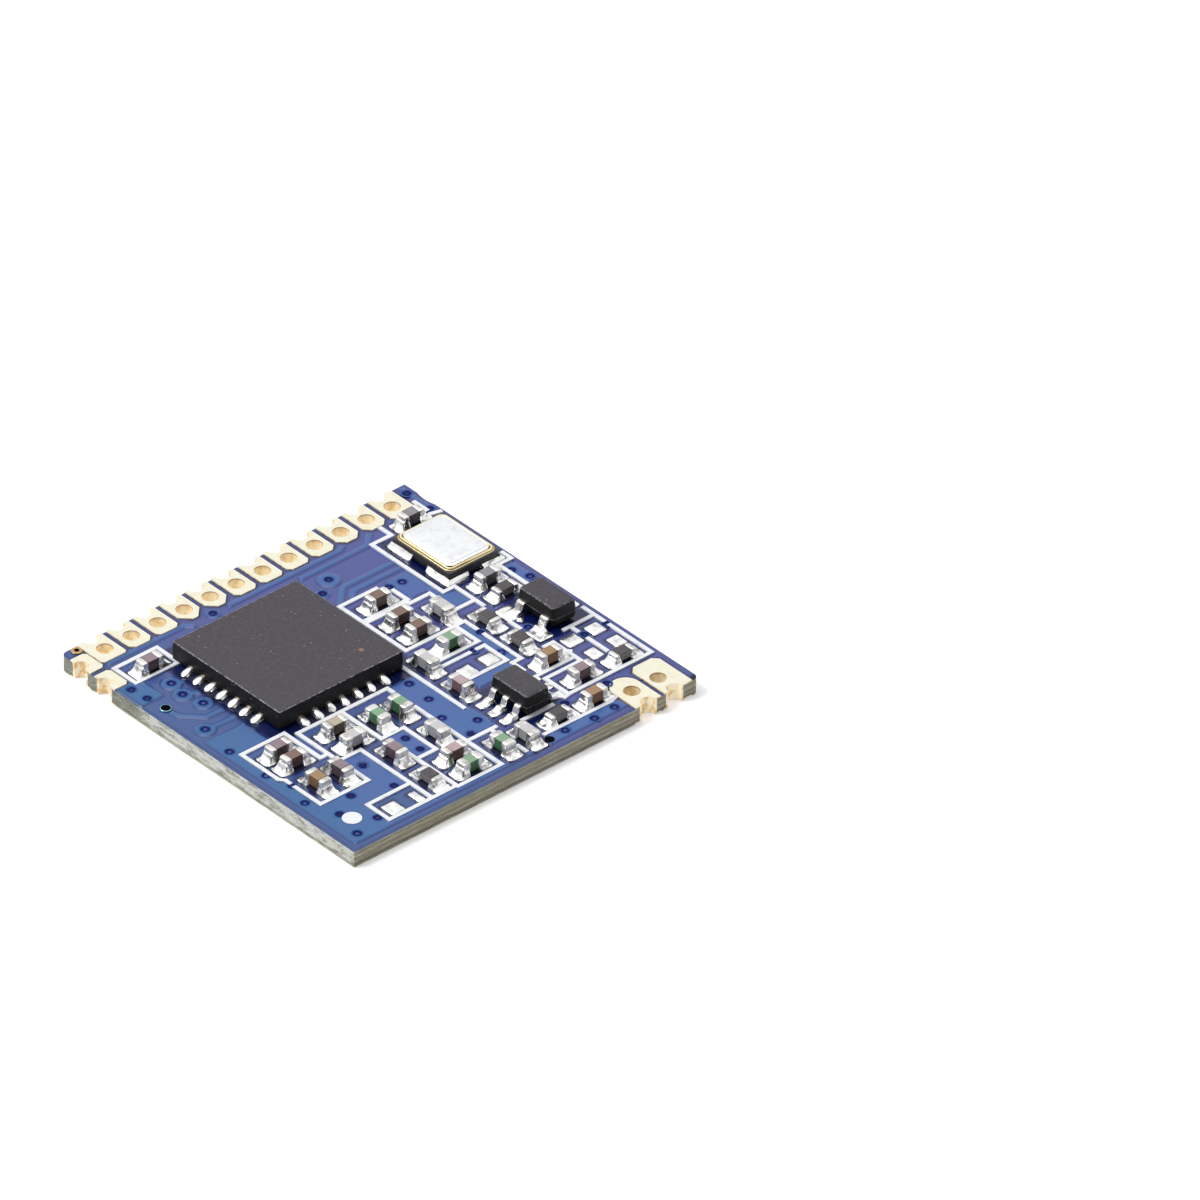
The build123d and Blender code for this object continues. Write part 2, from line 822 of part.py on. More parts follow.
def add_chips():
    """The capacitors, resistors and inductors with their caps and solder."""
    kinds = (
        ("capacitor", CAPACITORS, capacitor_height, capacitor_cap),
        ("resistor", RESISTORS, resistor_height, resistor_cap),
        ("inductor", INDUCTORS, inductor_height, inductor_cap),
    )
    for kind, chips, height, wrap in kinds:
        core, caps = chip_core(height, wrap), end_caps(height, wrap)
        joints = chip_joints(height)
        for chip in chips:
            add(f"{kind}_{chip.name}", at(chip.x, chip.y, seat, chip.turn), [core])
            add(f"{kind}_end_caps", at(chip.x, chip.y, seat, chip.turn), caps)
            add("solder_joints", at(chip.x, chip.y, land_top, chip.turn), joints)
    coat = overcoat()
    for chip in RESISTORS:
        add("resistor_overcoats", at(chip.x, chip.y, seat, chip.turn), [coat])


def add_packages():
    """The transceiver, the crystal and the two packages with bent leads."""
    body, terminals, pad = transceiver_parts()
    place = at(*transceiver_place, seat)
    add("transceiver_body", place, [body])
    add("transceiver_terminals", place, terminals)
    add("transceiver_ground_pad", place, [pad])
    add("solder_joints", at(*transceiver_place, land_top), transceiver_joints())

    base, ring, lid, pads = crystal_parts()
    place = at(*crystal_place, seat)
    add("crystal_base", place, [base])
    add("crystal_seal_ring", place, [ring])
    add("crystal_lid", place, [lid])
    add("crystal_pads", place, pads)
    add("solder_joints", at(*crystal_place, land_top), crystal_joints())

    packages = (
        ("radio_switch", switch_place, switch_leads()),
        ("regulator", regulator_place, regulator_leads()),
    )
    for name, (x, y), leads in packages:
        add(f"{name}_body", at(x, y, seat), [mould()])
        add(f"{name}_leads", at(x, y, seat), lead_solids(leads))
        add("solder_joints", at(x, y, land_top), lead_joints(leads))


add_board()
add_chips()
add_packages()

os.makedirs("parts", exist_ok=True)
for name, shapes in NODES.items():
    solids = [solid for shape in shapes for solid in shape.solids()]
    export_step(Compound(solids), f"parts/{name}.step")
    print(name, len(solids), "solids")
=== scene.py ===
"""The looks of a small radio module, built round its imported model.

Lengths in this file are millimetres until a mesh is finished, and metres after that. Places on the
board are measured from its front left corner, as on a layout drawing.
"""

import json
import logging
import math
from collections.abc import Callable, Sequence
from dataclasses import dataclass, field
from enum import Enum
from functools import cache

import bmesh
import bpy
import numpy as np
from mathutils import Matrix, Vector


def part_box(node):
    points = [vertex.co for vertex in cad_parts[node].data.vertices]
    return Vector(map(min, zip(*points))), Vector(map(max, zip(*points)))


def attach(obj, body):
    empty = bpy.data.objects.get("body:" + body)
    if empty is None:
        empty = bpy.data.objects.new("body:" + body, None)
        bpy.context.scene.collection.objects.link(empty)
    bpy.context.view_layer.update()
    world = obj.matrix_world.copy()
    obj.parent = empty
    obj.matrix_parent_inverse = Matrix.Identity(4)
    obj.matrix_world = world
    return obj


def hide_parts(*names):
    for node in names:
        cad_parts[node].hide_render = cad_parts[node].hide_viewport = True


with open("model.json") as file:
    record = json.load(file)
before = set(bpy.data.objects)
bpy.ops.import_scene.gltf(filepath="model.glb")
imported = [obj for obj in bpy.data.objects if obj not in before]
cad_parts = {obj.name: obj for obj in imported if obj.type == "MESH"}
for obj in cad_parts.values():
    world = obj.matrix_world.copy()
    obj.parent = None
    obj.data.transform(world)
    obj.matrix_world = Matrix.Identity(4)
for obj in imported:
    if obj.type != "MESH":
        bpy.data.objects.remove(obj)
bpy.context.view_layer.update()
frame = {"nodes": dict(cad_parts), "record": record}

LOG = logging.getLogger("radio_module")
MM = 0.001
BODY = "root"
SEED = 20
WELD_METRES = 1e-7
FAR_MM = 9.0
BLACK = (0.0, 0.0, 0.0)
WHITE = (1.0, 1.0, 1.0)

Point = tuple[float, float]
Triple = tuple[float, float, float]
Rect = tuple[float, float, float, float]
Grid = np.ndarray


# Colours and node graphs


def srgb(red: float, green: float, blue: float) -> Triple:
    """A colour as a screen shows it, from 0 to 255, as the linear colour that a shader takes.

    Args:
        red: Red share.
        green: Green share.
        blue: Blue share.

    Returns:
        The linear colour.
    """

    def linear(share: float) -> float:
        """One share of the colour, made linear."""
        value = share / 255
        return value / 12.92 if value <= 0.04045 else ((value + 0.055) / 1.055) ** 2.4

    return linear(red), linear(green), linear(blue)


class Signal:
    """One output socket, with arithmetic that adds the Math nodes that it needs."""

    def __init__(self, graph: "Graph", socket: bpy.types.NodeSocket) -> None:
        """Wrap a socket of a graph."""
        self.graph = graph
        self.socket = socket

    def _math(self, operation: str, first: object, second: object = 0.0) -> "Signal":
        """A Math node on two values."""
        node = self.graph.node("ShaderNodeMath", {"operation": operation}, {0: first, 1: second})
        return Signal(self.graph, node.outputs[0])

    def __add__(self, other: object) -> "Signal":
        """Sum."""
        return self._math("ADD", self, other)

    def __radd__(self, other: object) -> "Signal":
        """Sum, from the right."""
        return self._math("ADD", other, self)

    def __sub__(self, other: object) -> "Signal":
        """Difference."""
        return self._math("SUBTRACT", self, other)

    def __rsub__(self, other: object) -> "Signal":
        """Difference, from the right."""
        return self._math("SUBTRACT", other, self)

    def __mul__(self, other: object) -> "Signal":
        """Product."""
        return self._math("MULTIPLY", self, other)

    def __rmul__(self, other: object) -> "Signal":
        """Product, from the right."""
        return self._math("MULTIPLY", other, self)

    def __abs__(self) -> "Signal":
        """Size without sign."""
        return self._math("ABSOLUTE", self)

    def __or__(self, other: object) -> "Signal":
        """The larger of two values."""
        return self._math("MAXIMUM", self, other)

    def wrapped(self) -> "Signal":
        """The part of this value past its whole number."""
        return self._math("FRACT", self)

    def ramp(self, low: float, high: float) -> "Signal":
        """This value run smoothly from 0 at low to 1 at high.

        Args:
            low: The value that becomes 0.
            high: The value that becomes 1.

        Returns:
            The eased value, held between 0 and 1.
        """
        settings = {"interpolation_type": "SMOOTHSTEP"}
        inputs = {"Value": self, "From Min": low, "From Max": high}
        node = self.graph.node("ShaderNodeMapRange", settings, inputs)
        return Signal(self.graph, node.outputs["Result"])


class Graph:
    """A tree of shader nodes."""

    def __init__(self, tree: bpy.types.NodeTree) -> None:
        """Start with an empty tree."""
        self.tree = tree
        tree.nodes.clear()

    def node(
        self, kind: str, settings: dict | None = None, inputs: dict | None = None
    ) -> bpy.types.Node:
        """Add a node: its settings first, then its sockets.

        Args:
            kind: The node's type.
            settings: Attributes of the node, such as operation.
            inputs: Values or links, by a socket's identifier, name or number.

        Returns:
            The node.
        """
        node = self.tree.nodes.new(kind)
        for key, value in (settings or {}).items():
            setattr(node, key, value)
        for key, value in (inputs or {}).items():
            self.set(node, key, value)
        return node

    def set(self, node: bpy.types.Node, key: object, value: object) -> None:
        """Set or link one socket of a node.

        Args:
            node: The node.
            key: The socket's identifier, name or number.
            value: A Signal, a socket, a number or a colour.
        """
        if isinstance(key, int):
            socket = node.inputs[key]
        else:
            named = [s for s in node.inputs if s.identifier == key]
            socket = named[0] if named else node.inputs[key]
        if isinstance(value, Signal):
            value = value.socket
        if isinstance(value, bpy.types.NodeSocket):
            self.tree.links.new(value, socket)
        elif socket.type == "RGBA":
            socket.default_value = (*value[:3], 1)
        else:
            socket.default_value = value

    def mix(self, share: Signal, first: object, second: object) -> bpy.types.NodeSocket:
        """A colour between two colours.

        Args:
            share: 0 for the first colour and 1 for the second.
            first: A colour or a link.
            second: A colour or a link.

        Returns:
            The link of the mixed colour.
        """
        inputs = {"Factor_Float": share, "A_Color": first, "B_Color": second}
        node = self.node("ShaderNodeMix", {"data_type": "RGBA"}, inputs)
        return next(s for s in node.outputs if s.identifier == "Result_Color")


class Surface(Graph):
    """The node tree of one material."""

    def __init__(self, name: str) -> None:
        """Make a material with only a surface and its output."""
        self.material = bpy.data.materials.new(name)
        self.material.use_nodes = True
        self._place: bpy.types.NodeSocket | None = None
        super().__init__(self.material.node_tree)
        self.shader = self.node("ShaderNodeBsdfPrincipled")
        self.node("ShaderNodeOutputMaterial", inputs={"Surface": self.shader.outputs[0]})

    def place(self) -> bpy.types.NodeSocket:
        """The place on the object, in millimetres."""
        if self._place is None:
            here = self.node("ShaderNodeTexCoord").outputs["Object"]
            inputs = {"Vector": here, "Scale": 1 / MM}
            scaled = self.node("ShaderNodeVectorMath", {"operation": "SCALE"}, inputs)
            self._place = scaled.outputs[0]
        return self._place

    def stretched(self, factors: Triple) -> bpy.types.NodeSocket:
        """The place in millimetres with each axis multiplied by its own factor."""
        inputs = {0: self.place(), 1: factors}
        return self.node("ShaderNodeVectorMath", {"operation": "MULTIPLY"}, inputs).outputs[0]

    def axes(self) -> tuple[Signal, ...]:
        """The three coordinates of the place, in millimetres."""
        split = self.node("ShaderNodeSeparateXYZ", inputs={0: self.place()})
        return tuple(Signal(self, split.outputs[i]) for i in range(3))

    def facing(self) -> tuple[Signal, ...]:
        """The three coordinates of the flat surface's own direction."""
        normal = self.node("ShaderNodeNewGeometry").outputs["True Normal"]
        split = self.node("ShaderNodeSeparateXYZ", inputs={0: normal})
        return tuple(Signal(self, split.outputs[i]) for i in range(3))

    def noise(
        self, per_mm: float, detail: float = 3.0, stretch: Triple = (1, 1, 1), rough: float = 0.55
    ) -> Signal:
        """Smooth noise from 0 to 1.

        Args:
            per_mm: How many grains there are to a millimetre.
            detail: How many finer layers it has.
            stretch: A factor on each axis.
            rough: How strong the finer layers are.

        Returns:
            The noise.
        """
        place = self.place() if stretch == (1, 1, 1) else self.stretched(stretch)
        inputs = {"Vector": place, "Scale": per_mm, "Detail": detail, "Roughness": rough}
        node = self.node("ShaderNodeTexNoise", {"noise_dimensions": "3D"}, inputs)
        return Signal(self, node.outputs[0])

    def cells(self, per_mm: float) -> Signal:
        """The distance to the nearest of many scattered points, in cells."""
        inputs = {"Vector": self.place(), "Scale": per_mm}
        node = self.node("ShaderNodeTexVoronoi", {"feature": "F1"}, inputs)
        return Signal(self, node.outputs["Distance"])

    def stored(self, name: str) -> Signal:
        """A value that the mesh holds at each of its points."""
        node = self.node("ShaderNodeAttribute", {"attribute_name": name})
        return Signal(self, node.outputs["Fac"])

    def bump(self, height: Signal, depth_mm: float, strength: float = 1.0) -> None:
        """Bump the surface by a height from 0 to 1, as deep as depth_mm."""
        inputs = {"Height": height, "Distance": depth_mm * MM, "Strength": strength}
        self.wear(Normal=self.node("ShaderNodeBump", inputs=inputs).outputs[0])

    def wear(self, **values: object) -> None:
        """Set or link the shader's own sockets, with _ for each blank in their names."""
        for name, value in values.items():
            self.set(self.shader, name.replace("_", " "), value)


# Finishes


@dataclass(frozen=True)
class Finish:
    """A finish that a piece can wear."""

    name: str

    def paint(self, surface: Surface) -> None:
        """Fill the surface's nodes."""
        raise NotImplementedError

    @cache
    def material(self) -> bpy.types.Material:
        """The finish's material, made once."""
        surface = Surface(self.name)
        self.paint(surface)
        return surface.material


@dataclass(frozen=True)
class Coating(Finish):
    """Blue solder resist, steel blue over copper, bluer or more violet over the laminate.

    The mesh holds where copper lies under it, where a line of painted shade runs along the copper's
    edges, how much painted shade, with some dark flux and gaps, darkens it, and where a paler plug
    fills a hole.
    """

    over_copper: Triple = srgb(66, 94, 159)
    copper_cloud: Triple = srgb(58, 98, 160)
    left_copper: Triple = srgb(46, 98, 152)
    left_laminate: Triple = srgb(56, 84, 141)
    right_laminate: Triple = srgb(70, 80, 146)
    # Colours of painted shade: along the copper's edges, and round parts, windows and holes.
    line: Triple = srgb(26, 40, 100)
    shade: Triple = srgb(2, 17, 70)
    plug: Triple = srgb(88, 90, 160)
    roughness: float = 0.26
    gloss: float = 0.5

    def paint(self, surface: Surface) -> None:
        """Fill the surface's nodes."""
        across, along, _ = surface.axes()
        cloud = surface.noise(0.7, detail=2.0).ramp(0.3, 0.7)
        copper = surface.mix(cloud, self.over_copper, self.copper_cloud)
        copper = surface.mix(1 - (across + cloud).ramp(-8.4, -4.0), copper, self.left_copper)
        drift = across * 0.7 + along * 0.3 + cloud * 2.0
        bare = surface.mix(drift.ramp(-4.0, 2.5), self.left_laminate, self.right_laminate)
        field_colour = surface.mix(surface.stored("copper"), bare, copper)
        # Painted shade along the copper's edges.
        lined = surface.mix(surface.stored("line"), field_colour, self.line)
        # Painted shade round parts, windows and holes, made uneven by noise.
        blotch = surface.noise(3.0) * 0.7 - 0.35
        shade = surface.stored("shade")
        shaded = surface.mix((shade + blotch * shade).ramp(-0.02, 0.95), lined, self.shade)
        plugged = surface.mix(surface.stored("plug"), shaded, self.plug)
        surface.wear(Base_Color=plugged, Roughness=self.roughness, Specular_IOR_Level=self.gloss)
        surface.bump(surface.noise(7.0), depth_mm=0.004, strength=0.4)


@dataclass(frozen=True)
class Laminate(Finish):
    """Glass-fibre laminate: sawn edges with layers of cloth, and a dark smooth face.

    The front and back edges are olive with dark seams. The left and right ones are paler and
    blotched, and a painted shadow darkens them towards the side contacts.
    """

    pale: Triple = srgb(226, 227, 218)
    grey: Triple = srgb(158, 159, 146)
    low_rim: Triple = srgb(112, 114, 96)
    shadowed: Triple = srgb(104, 108, 92)
    olive: Triple = srgb(170, 164, 140)
    tan: Triple = srgb(206, 200, 178)
    dark: Triple = srgb(74, 68, 60)
    seam_colour: Triple = srgb(112, 102, 88)
    fibre: Triple = srgb(240, 241, 234)
    face: Triple = srgb(10, 16, 52)
    layers_per_mm: float = 4.7
    shadow_reach: Point = (3.7, 4.6)
    low_rim_reach: Point = (0.15, 0.26)

    def paint(self, surface: Surface) -> None:
        """Fill the surface's nodes."""
        across, along, height = surface.axes()
        _, forward, up = surface.facing()
        front = abs(forward).ramp(0.5, 0.9)
        streak = surface.noise(2.0, detail=5.0, stretch=(0.45, 0.45, 6.0), rough=0.7)
        fine = surface.noise(9.0, detail=4.0, stretch=(0.35, 0.35, 3.2), rough=0.7)
        blotch = surface.noise(3.2, detail=4.0, stretch=(0.55, 0.55, 2.0), rough=0.7)
        left = surface.mix(blotch.ramp(0.37, 0.55), self.grey, self.pale)
        # Painted shadow towards the side contacts.
        shadow = (along + blotch).ramp(*self.shadow_reach) * 0.75
        left = surface.mix(shadow, left, self.shadowed)
        sawn = surface.mix(streak.ramp(0.38, 0.62), self.olive, self.tan)
        body = surface.mix(front, left, sawn)
        flecks = surface.noise(12.0, stretch=(0.7, 0.7, 2.0), rough=0.8)
        flecked = surface.mix(flecks.ramp(0.55, 0.68) * (0.9 - front * 0.5), body, self.fibre)
        pits = surface.noise(7.0, detail=4.0, stretch=(0.6, 0.6, 2.4), rough=0.8)
        pitted = surface.mix(pits.ramp(0.56, 0.66) * (0.72 - front * 0.22), flecked, self.dark)
        sway = surface.noise(0.5, detail=2.0) * 0.35 + across * 0.008
        layer = (height * self.layers_per_mm + sway + fine * 0.8 + streak * 0.4).wrapped()
        seam = layer.ramp(0.05, 0.35) * (1 - layer.ramp(0.4, 0.75)) * streak.ramp(0.34, 0.58)
        banded = surface.mix(seam * (front * 0.62 + 0.08), pitted, self.seam_colour)
        low = (1 - (height + blotch * 0.1).ramp(*self.low_rim_reach)) * 0.5
        rimmed = surface.mix(low, banded, self.low_rim)
        grained = surface.mix(fine.ramp(0.52, 0.8) * 0.5, rimmed, self.dark)
        flat = abs(up).ramp(0.5, 0.9)
        surface.wear(Base_Color=surface.mix(flat, grained, self.face), Roughness=0.85)
        surface.bump(streak * 0.5 + fine * 0.5, depth_mm=0.03, strength=0.9)


@dataclass(frozen=True)
class Underside(Finish):
    """The coating of the underside, pale where it ends at the sawn edge."""

    blue: Triple = srgb(56, 86, 150)
    violet: Triple = srgb(64, 80, 148)
    rim: Triple = srgb(206, 200, 176)
    rim_streak: Triple = srgb(150, 140, 118)

    def paint(self, surface: Surface) -> None:
        """Fill the surface's nodes."""
        _, _, up = surface.facing()
        cloud = surface.noise(0.9).ramp(0.3, 0.7)
        face = surface.mix(cloud, self.blue, self.violet)
        streak = surface.noise(4.0, detail=4.0, stretch=(0.5, 0.5, 3.0), rough=0.7)
        rim = surface.mix(streak.ramp(0.4, 0.65), self.rim, self.rim_streak)
        surface.wear(Base_Color=surface.mix(1 - abs(up).ramp(0.4, 0.9), face, rim))
        surface.wear(Roughness=cloud * 0.08 + 0.28)
        surface.bump(surface.noise(7.0), depth_mm=0.004, strength=0.4)


@dataclass(frozen=True)
class Plating(Finish):
    """Thin gold over copper, nearly white where it faces up and deeper on its walls.

    Its walls can carry a faint painted glow, for the light that bright metal passes round in a
    narrow hole, and a painted shade at their lip. The glow has one share on the board's front half
    and another on its back half, and it leaves out the walls that face backwards.
    """

    pale: Triple = srgb(240, 237, 216)
    wall_pale: Triple = srgb(255, 246, 218)
    wall_deep: Triple = srgb(230, 190, 126)
    deep: Triple = srgb(206, 158, 88)
    # The colour of the painted shade at a wall's lip.
    outline: Triple = srgb(150, 108, 60)
    lip_shade_share: float = 0.0
    glow: float = 0.0
    front_share: float = 0.0
    back_share: float = 1.0
    lip_reach: Point = (0.07, 0.02)

    def paint(self, surface: Surface) -> None:
        """Fill the surface's nodes."""
        _, along, height = surface.axes()
        _, forward, up = surface.facing()
        mottle = surface.noise(5.0, detail=4.0).ramp(0.35, 0.7)
        face = surface.mix(mottle * 0.12, self.pale, self.deep)
        swirl = surface.noise(5.5, detail=4.0, stretch=(1.0, 1.0, 0.6), rough=0.6).ramp(0.44, 0.6)
        wall = surface.mix(swirl, self.wall_pale, self.wall_deep)
        # Painted shade at the lip of a hole's wall.
        lip_start, lip_end = (Layers.land_top - depth for depth in self.lip_reach)
        wall = surface.mix(height.ramp(lip_start, lip_end) * self.lip_shade_share, wall, self.outline)
        steep = 1 - abs(up).ramp(0.3, 0.8)
        # A faint painted glow on the walls.
        share = along.ramp(-2.0, 2.0) * (self.back_share - self.front_share) + self.front_share
        ahead = 1 - forward.ramp(0.0, 0.5)
        lit = surface.mix(steep * share * ahead, BLACK, wall)
        surface.wear(Emission_Color=lit, Emission_Strength=self.glow)
        surface.wear(Base_Color=surface.mix(steep, face, wall), Metallic=0.6 - steep * 0.55)
        surface.wear(Roughness=surface.noise(3.0) * 0.14 + 0.28)
        surface.bump(surface.noise(16.0), depth_mm=0.006, strength=0.5)


@dataclass(frozen=True)
class BrightMetal(Finish):
    """Solder or tinned metal: bright, softly uneven, with dull patches.

    Its dark patches, where it has them, are painted reflections of dark surroundings.
    """

    colour: Triple = srgb(248, 248, 247)
    dull: Triple = srgb(186, 184, 182)
    dark: Triple = srgb(92, 88, 90)
    # How much of the surface shows painted dark reflections.
    dark_reflection_share: float = 0.0
    roughness: float = 0.20
    waves_mm: float = 0.03

    def paint(self, surface: Surface) -> None:
        """Fill the surface's nodes."""
        patches = surface.noise(3.0).ramp(0.45, 0.72)
        base = surface.mix(patches * 0.7, self.colour, self.dull)
        # Painted reflections of dark surroundings, in patches.
        painted_dark_reflections = surface.noise(3.0, detail=1.5, rough=0.4).ramp(0.56, 0.68) * self.dark_reflection_share
        surface.wear(Base_Color=surface.mix(painted_dark_reflections, base, self.dark), Metallic=1.0)
        surface.wear(Roughness=surface.noise(5.0, detail=2.0) * 0.16 + (self.roughness - 0.06))
        surface.bump(surface.noise(3.2, detail=1.5, rough=0.45), self.waves_mm, strength=0.8)


@dataclass(frozen=True)
class Ceramic(Finish):
    """A fired body with fine grain and a darker tone in patches.

    Its top is lighter and its sides darker, as painted light and shade.
    """

    colour: Triple = srgb(140, 110, 90)
    side: Triple = srgb(110, 84, 68)
    roughness: float = 0.42

    def paint(self, surface: Surface) -> None:
        """Fill the surface's nodes."""
        _, _, up = surface.facing()
        grain = surface.noise(11.0, detail=4.0, rough=0.7)
        # Painted shade on the sides, and darker patches of grain.
        blend = (1 - up.ramp(0.4, 0.9)) * 0.8 + grain.ramp(0.4, 0.8) * 0.3
        surface.wear(Base_Color=surface.mix(blend, self.colour, self.side))
        surface.wear(Roughness=grain * 0.2 + (self.roughness - 0.1))
        surface.bump(grain, depth_mm=0.004, strength=0.6)


@dataclass(frozen=True)
class Moulding(Finish):
    """Moulding compound: near black, with fine specks of filler.

    Its top is lighter and its sides near black, as painted light and shade, and its edges are pale
    with wear and a painted highlight.
    """

    top: Triple = srgb(60, 57, 63)
    side: Triple = srgb(3, 3, 4)
    edge: Triple = srgb(186, 182, 188)
    speck: Triple = srgb(150, 140, 130)
    filler: Triple = srgb(104, 100, 108)

    def paint(self, surface: Surface) -> None:
        """Fill the surface's nodes."""
        _, _, up = surface.facing()
        # Painted light on the top and painted shade on the sides.
        level = up.ramp(0.35, 0.95)
        tone = surface.mix(level, self.side, self.top)
        grain = surface.noise(9.0, detail=4.0, rough=0.75)
        mottled = surface.mix(grain.ramp(0.42, 0.75) * level * 0.35, tone, self.filler)
        # Pale edges: flecks of wear and a painted highlight.
        worn = surface.stored("edge") * surface.noise(9.0, rough=0.7).ramp(0.40, 0.60)
        edged = surface.mix(worn * 0.85, mottled, self.edge)
        specks = 1 - surface.cells(4.2).ramp(0.06, 0.15)
        chosen = specks * surface.noise(2.0, detail=2.0).ramp(0.46, 0.58)
        surface.wear(Base_Color=surface.mix(chosen, edged, self.speck))
        surface.wear(Roughness=grain * 0.2 + 0.46, Specular_IOR_Level=0.36)
        surface.bump(grain, depth_mm=0.005, strength=0.7)


@dataclass(frozen=True)
class SealGold(Finish):
    """The gold ring round the crystal's lid, brown in its groove."""

    gold: Triple = srgb(252, 238, 190)
    deep_gold: Triple = srgb(222, 190, 118)
    groove: Triple = srgb(112, 80, 36)

    def paint(self, surface: Surface) -> None:
        """Fill the surface's nodes."""
        mottle = surface.noise(6.0).ramp(0.4, 0.7)
        gold = surface.mix(mottle * 0.3, self.gold, self.deep_gold)
        base = surface.mix(surface.stored("groove"), gold, self.groove)
        surface.wear(Base_Color=base, Metallic=0.75, Roughness=0.28)
        surface.bump(surface.noise(12.0), depth_mm=0.006, strength=0.5)


@dataclass(frozen=True)
class Ink(Finish):
    """White printed ink, a little uneven."""

    colour: Triple = srgb(237, 239, 242)
    thin: Triple = srgb(206, 211, 226)

    def paint(self, surface: Surface) -> None:
        """Fill the surface's nodes."""
        patchy = surface.noise(3.0, detail=4.0).ramp(0.52, 0.8)
        surface.wear(Base_Color=surface.mix(patchy, self.colour, self.thin), Roughness=0.55)
        surface.bump(surface.noise(14.0), depth_mm=0.004, strength=0.4)


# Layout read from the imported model


def node_box(node: str) -> tuple[Vector, Vector]:
    """A node's lowest and highest corners, in millimetres."""
    low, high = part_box(node)
    return low / MM, high / MM


class Layers:
    """The heights of the board's layers, and its size."""

    laminate_low, laminate_high = node_box("board_laminate")
    contact_low, contact_high = node_box("row_contacts")
    coating_high = node_box("top_coating")[1]
    width = laminate_high.x - laminate_low.x
    depth = laminate_high.y - laminate_low.y
    laminate_top = laminate_high.z
    land_bottom = contact_low.z
    land_top = contact_high.z
    coating_top = coating_high.z
    low_coating_top = laminate_high.z + (coating_high.z - contact_high.z)


def on_layout(x: float, y: float, z: float = 0.0) -> Vector:
    """A place of the layout in the model's own axes, in millimetres."""
    return Vector((x - Layers.width / 2, y - Layers.depth / 2, z))


def slot_of(node: str) -> str:
    """The record's material slot of a node."""
    entries = frame["record"]["subparts"]
    return next(entry["material_slot"] for entry in entries if entry["node"] == node)


def solids_of(node: str) -> list[tuple[Grid, Grid]]:
    """The lowest and highest corner of each separate solid of a node, in millimetres.

    Args:
        node: The node.

    Returns:
        The corners of one solid after the other, in the model's own axes.
    """
    mesh = frame["nodes"][node].data
    points = np.array([vertex.co for vertex in mesh.vertices]) / MM
    parent = list(range(len(points)))

    def root(index: int) -> int:
        """The first point of a point's group."""
        while parent[index] != index:
            parent[index] = parent[parent[index]]
            index = parent[index]
        return index

    owner: dict[tuple, int] = {}
    for index, point in enumerate(points):
        parent[index] = root(owner.setdefault(tuple(np.round(point, 3)), index))
    for polygon in mesh.polygons:
        first = root(polygon.vertices[0])
        for other in polygon.vertices[1:]:
            parent[root(other)] = first
    groups: dict[int, list[int]] = {}
    for index in range(len(points)):
        groups.setdefault(root(index), []).append(index)
    return [(points[group].min(axis=0), points[group].max(axis=0)) for group in groups.values()]


def land_rects(node: str) -> list[Rect]:
    """The rectangles of the layout that the solids of a node fill."""
    shift = np.array((Layers.width / 2, Layers.depth / 2))
    return [(*(low[:2] + shift), *(high[:2] + shift)) for low, high in solids_of(node)]


def chip_nodes() -> list[str]:
    """The nodes that are the bodies of two-terminal chip parts."""
    starts = ("capacitor_c", "resistor_r", "inductor_l")
    return sorted(node for node in frame["nodes"] if node.startswith(starts))


@dataclass(frozen=True)
class ChipPlace:
    """Where a chip part stands, read from its body's box."""

    node: str

    @property
    def middle(self) -> Vector:
        """The middle of its footprint, in the model's axes."""
        low, high = node_box(self.node)
        return Vector(((low.x + high.x) / 2, (low.y + high.y) / 2, 0))

    @property
    def turned(self) -> bool:
        """Whether its terminals lie along Y."""
        low, high = node_box(self.node)
        return high.y - low.y > high.x - low.x

    @property
    def top(self) -> float:
        """The height of its body's top."""
        return node_box(self.node)[1].z

    def turn(self, half_turn: bool = False) -> Matrix:
        """The turn and move from its own axes, with +X to one terminal."""
        angle = math.radians(90 * self.turned + 180 * half_turn)
        return Matrix.Translation(self.middle) @ Matrix.Rotation(angle, 4, "Z")


# Meshes


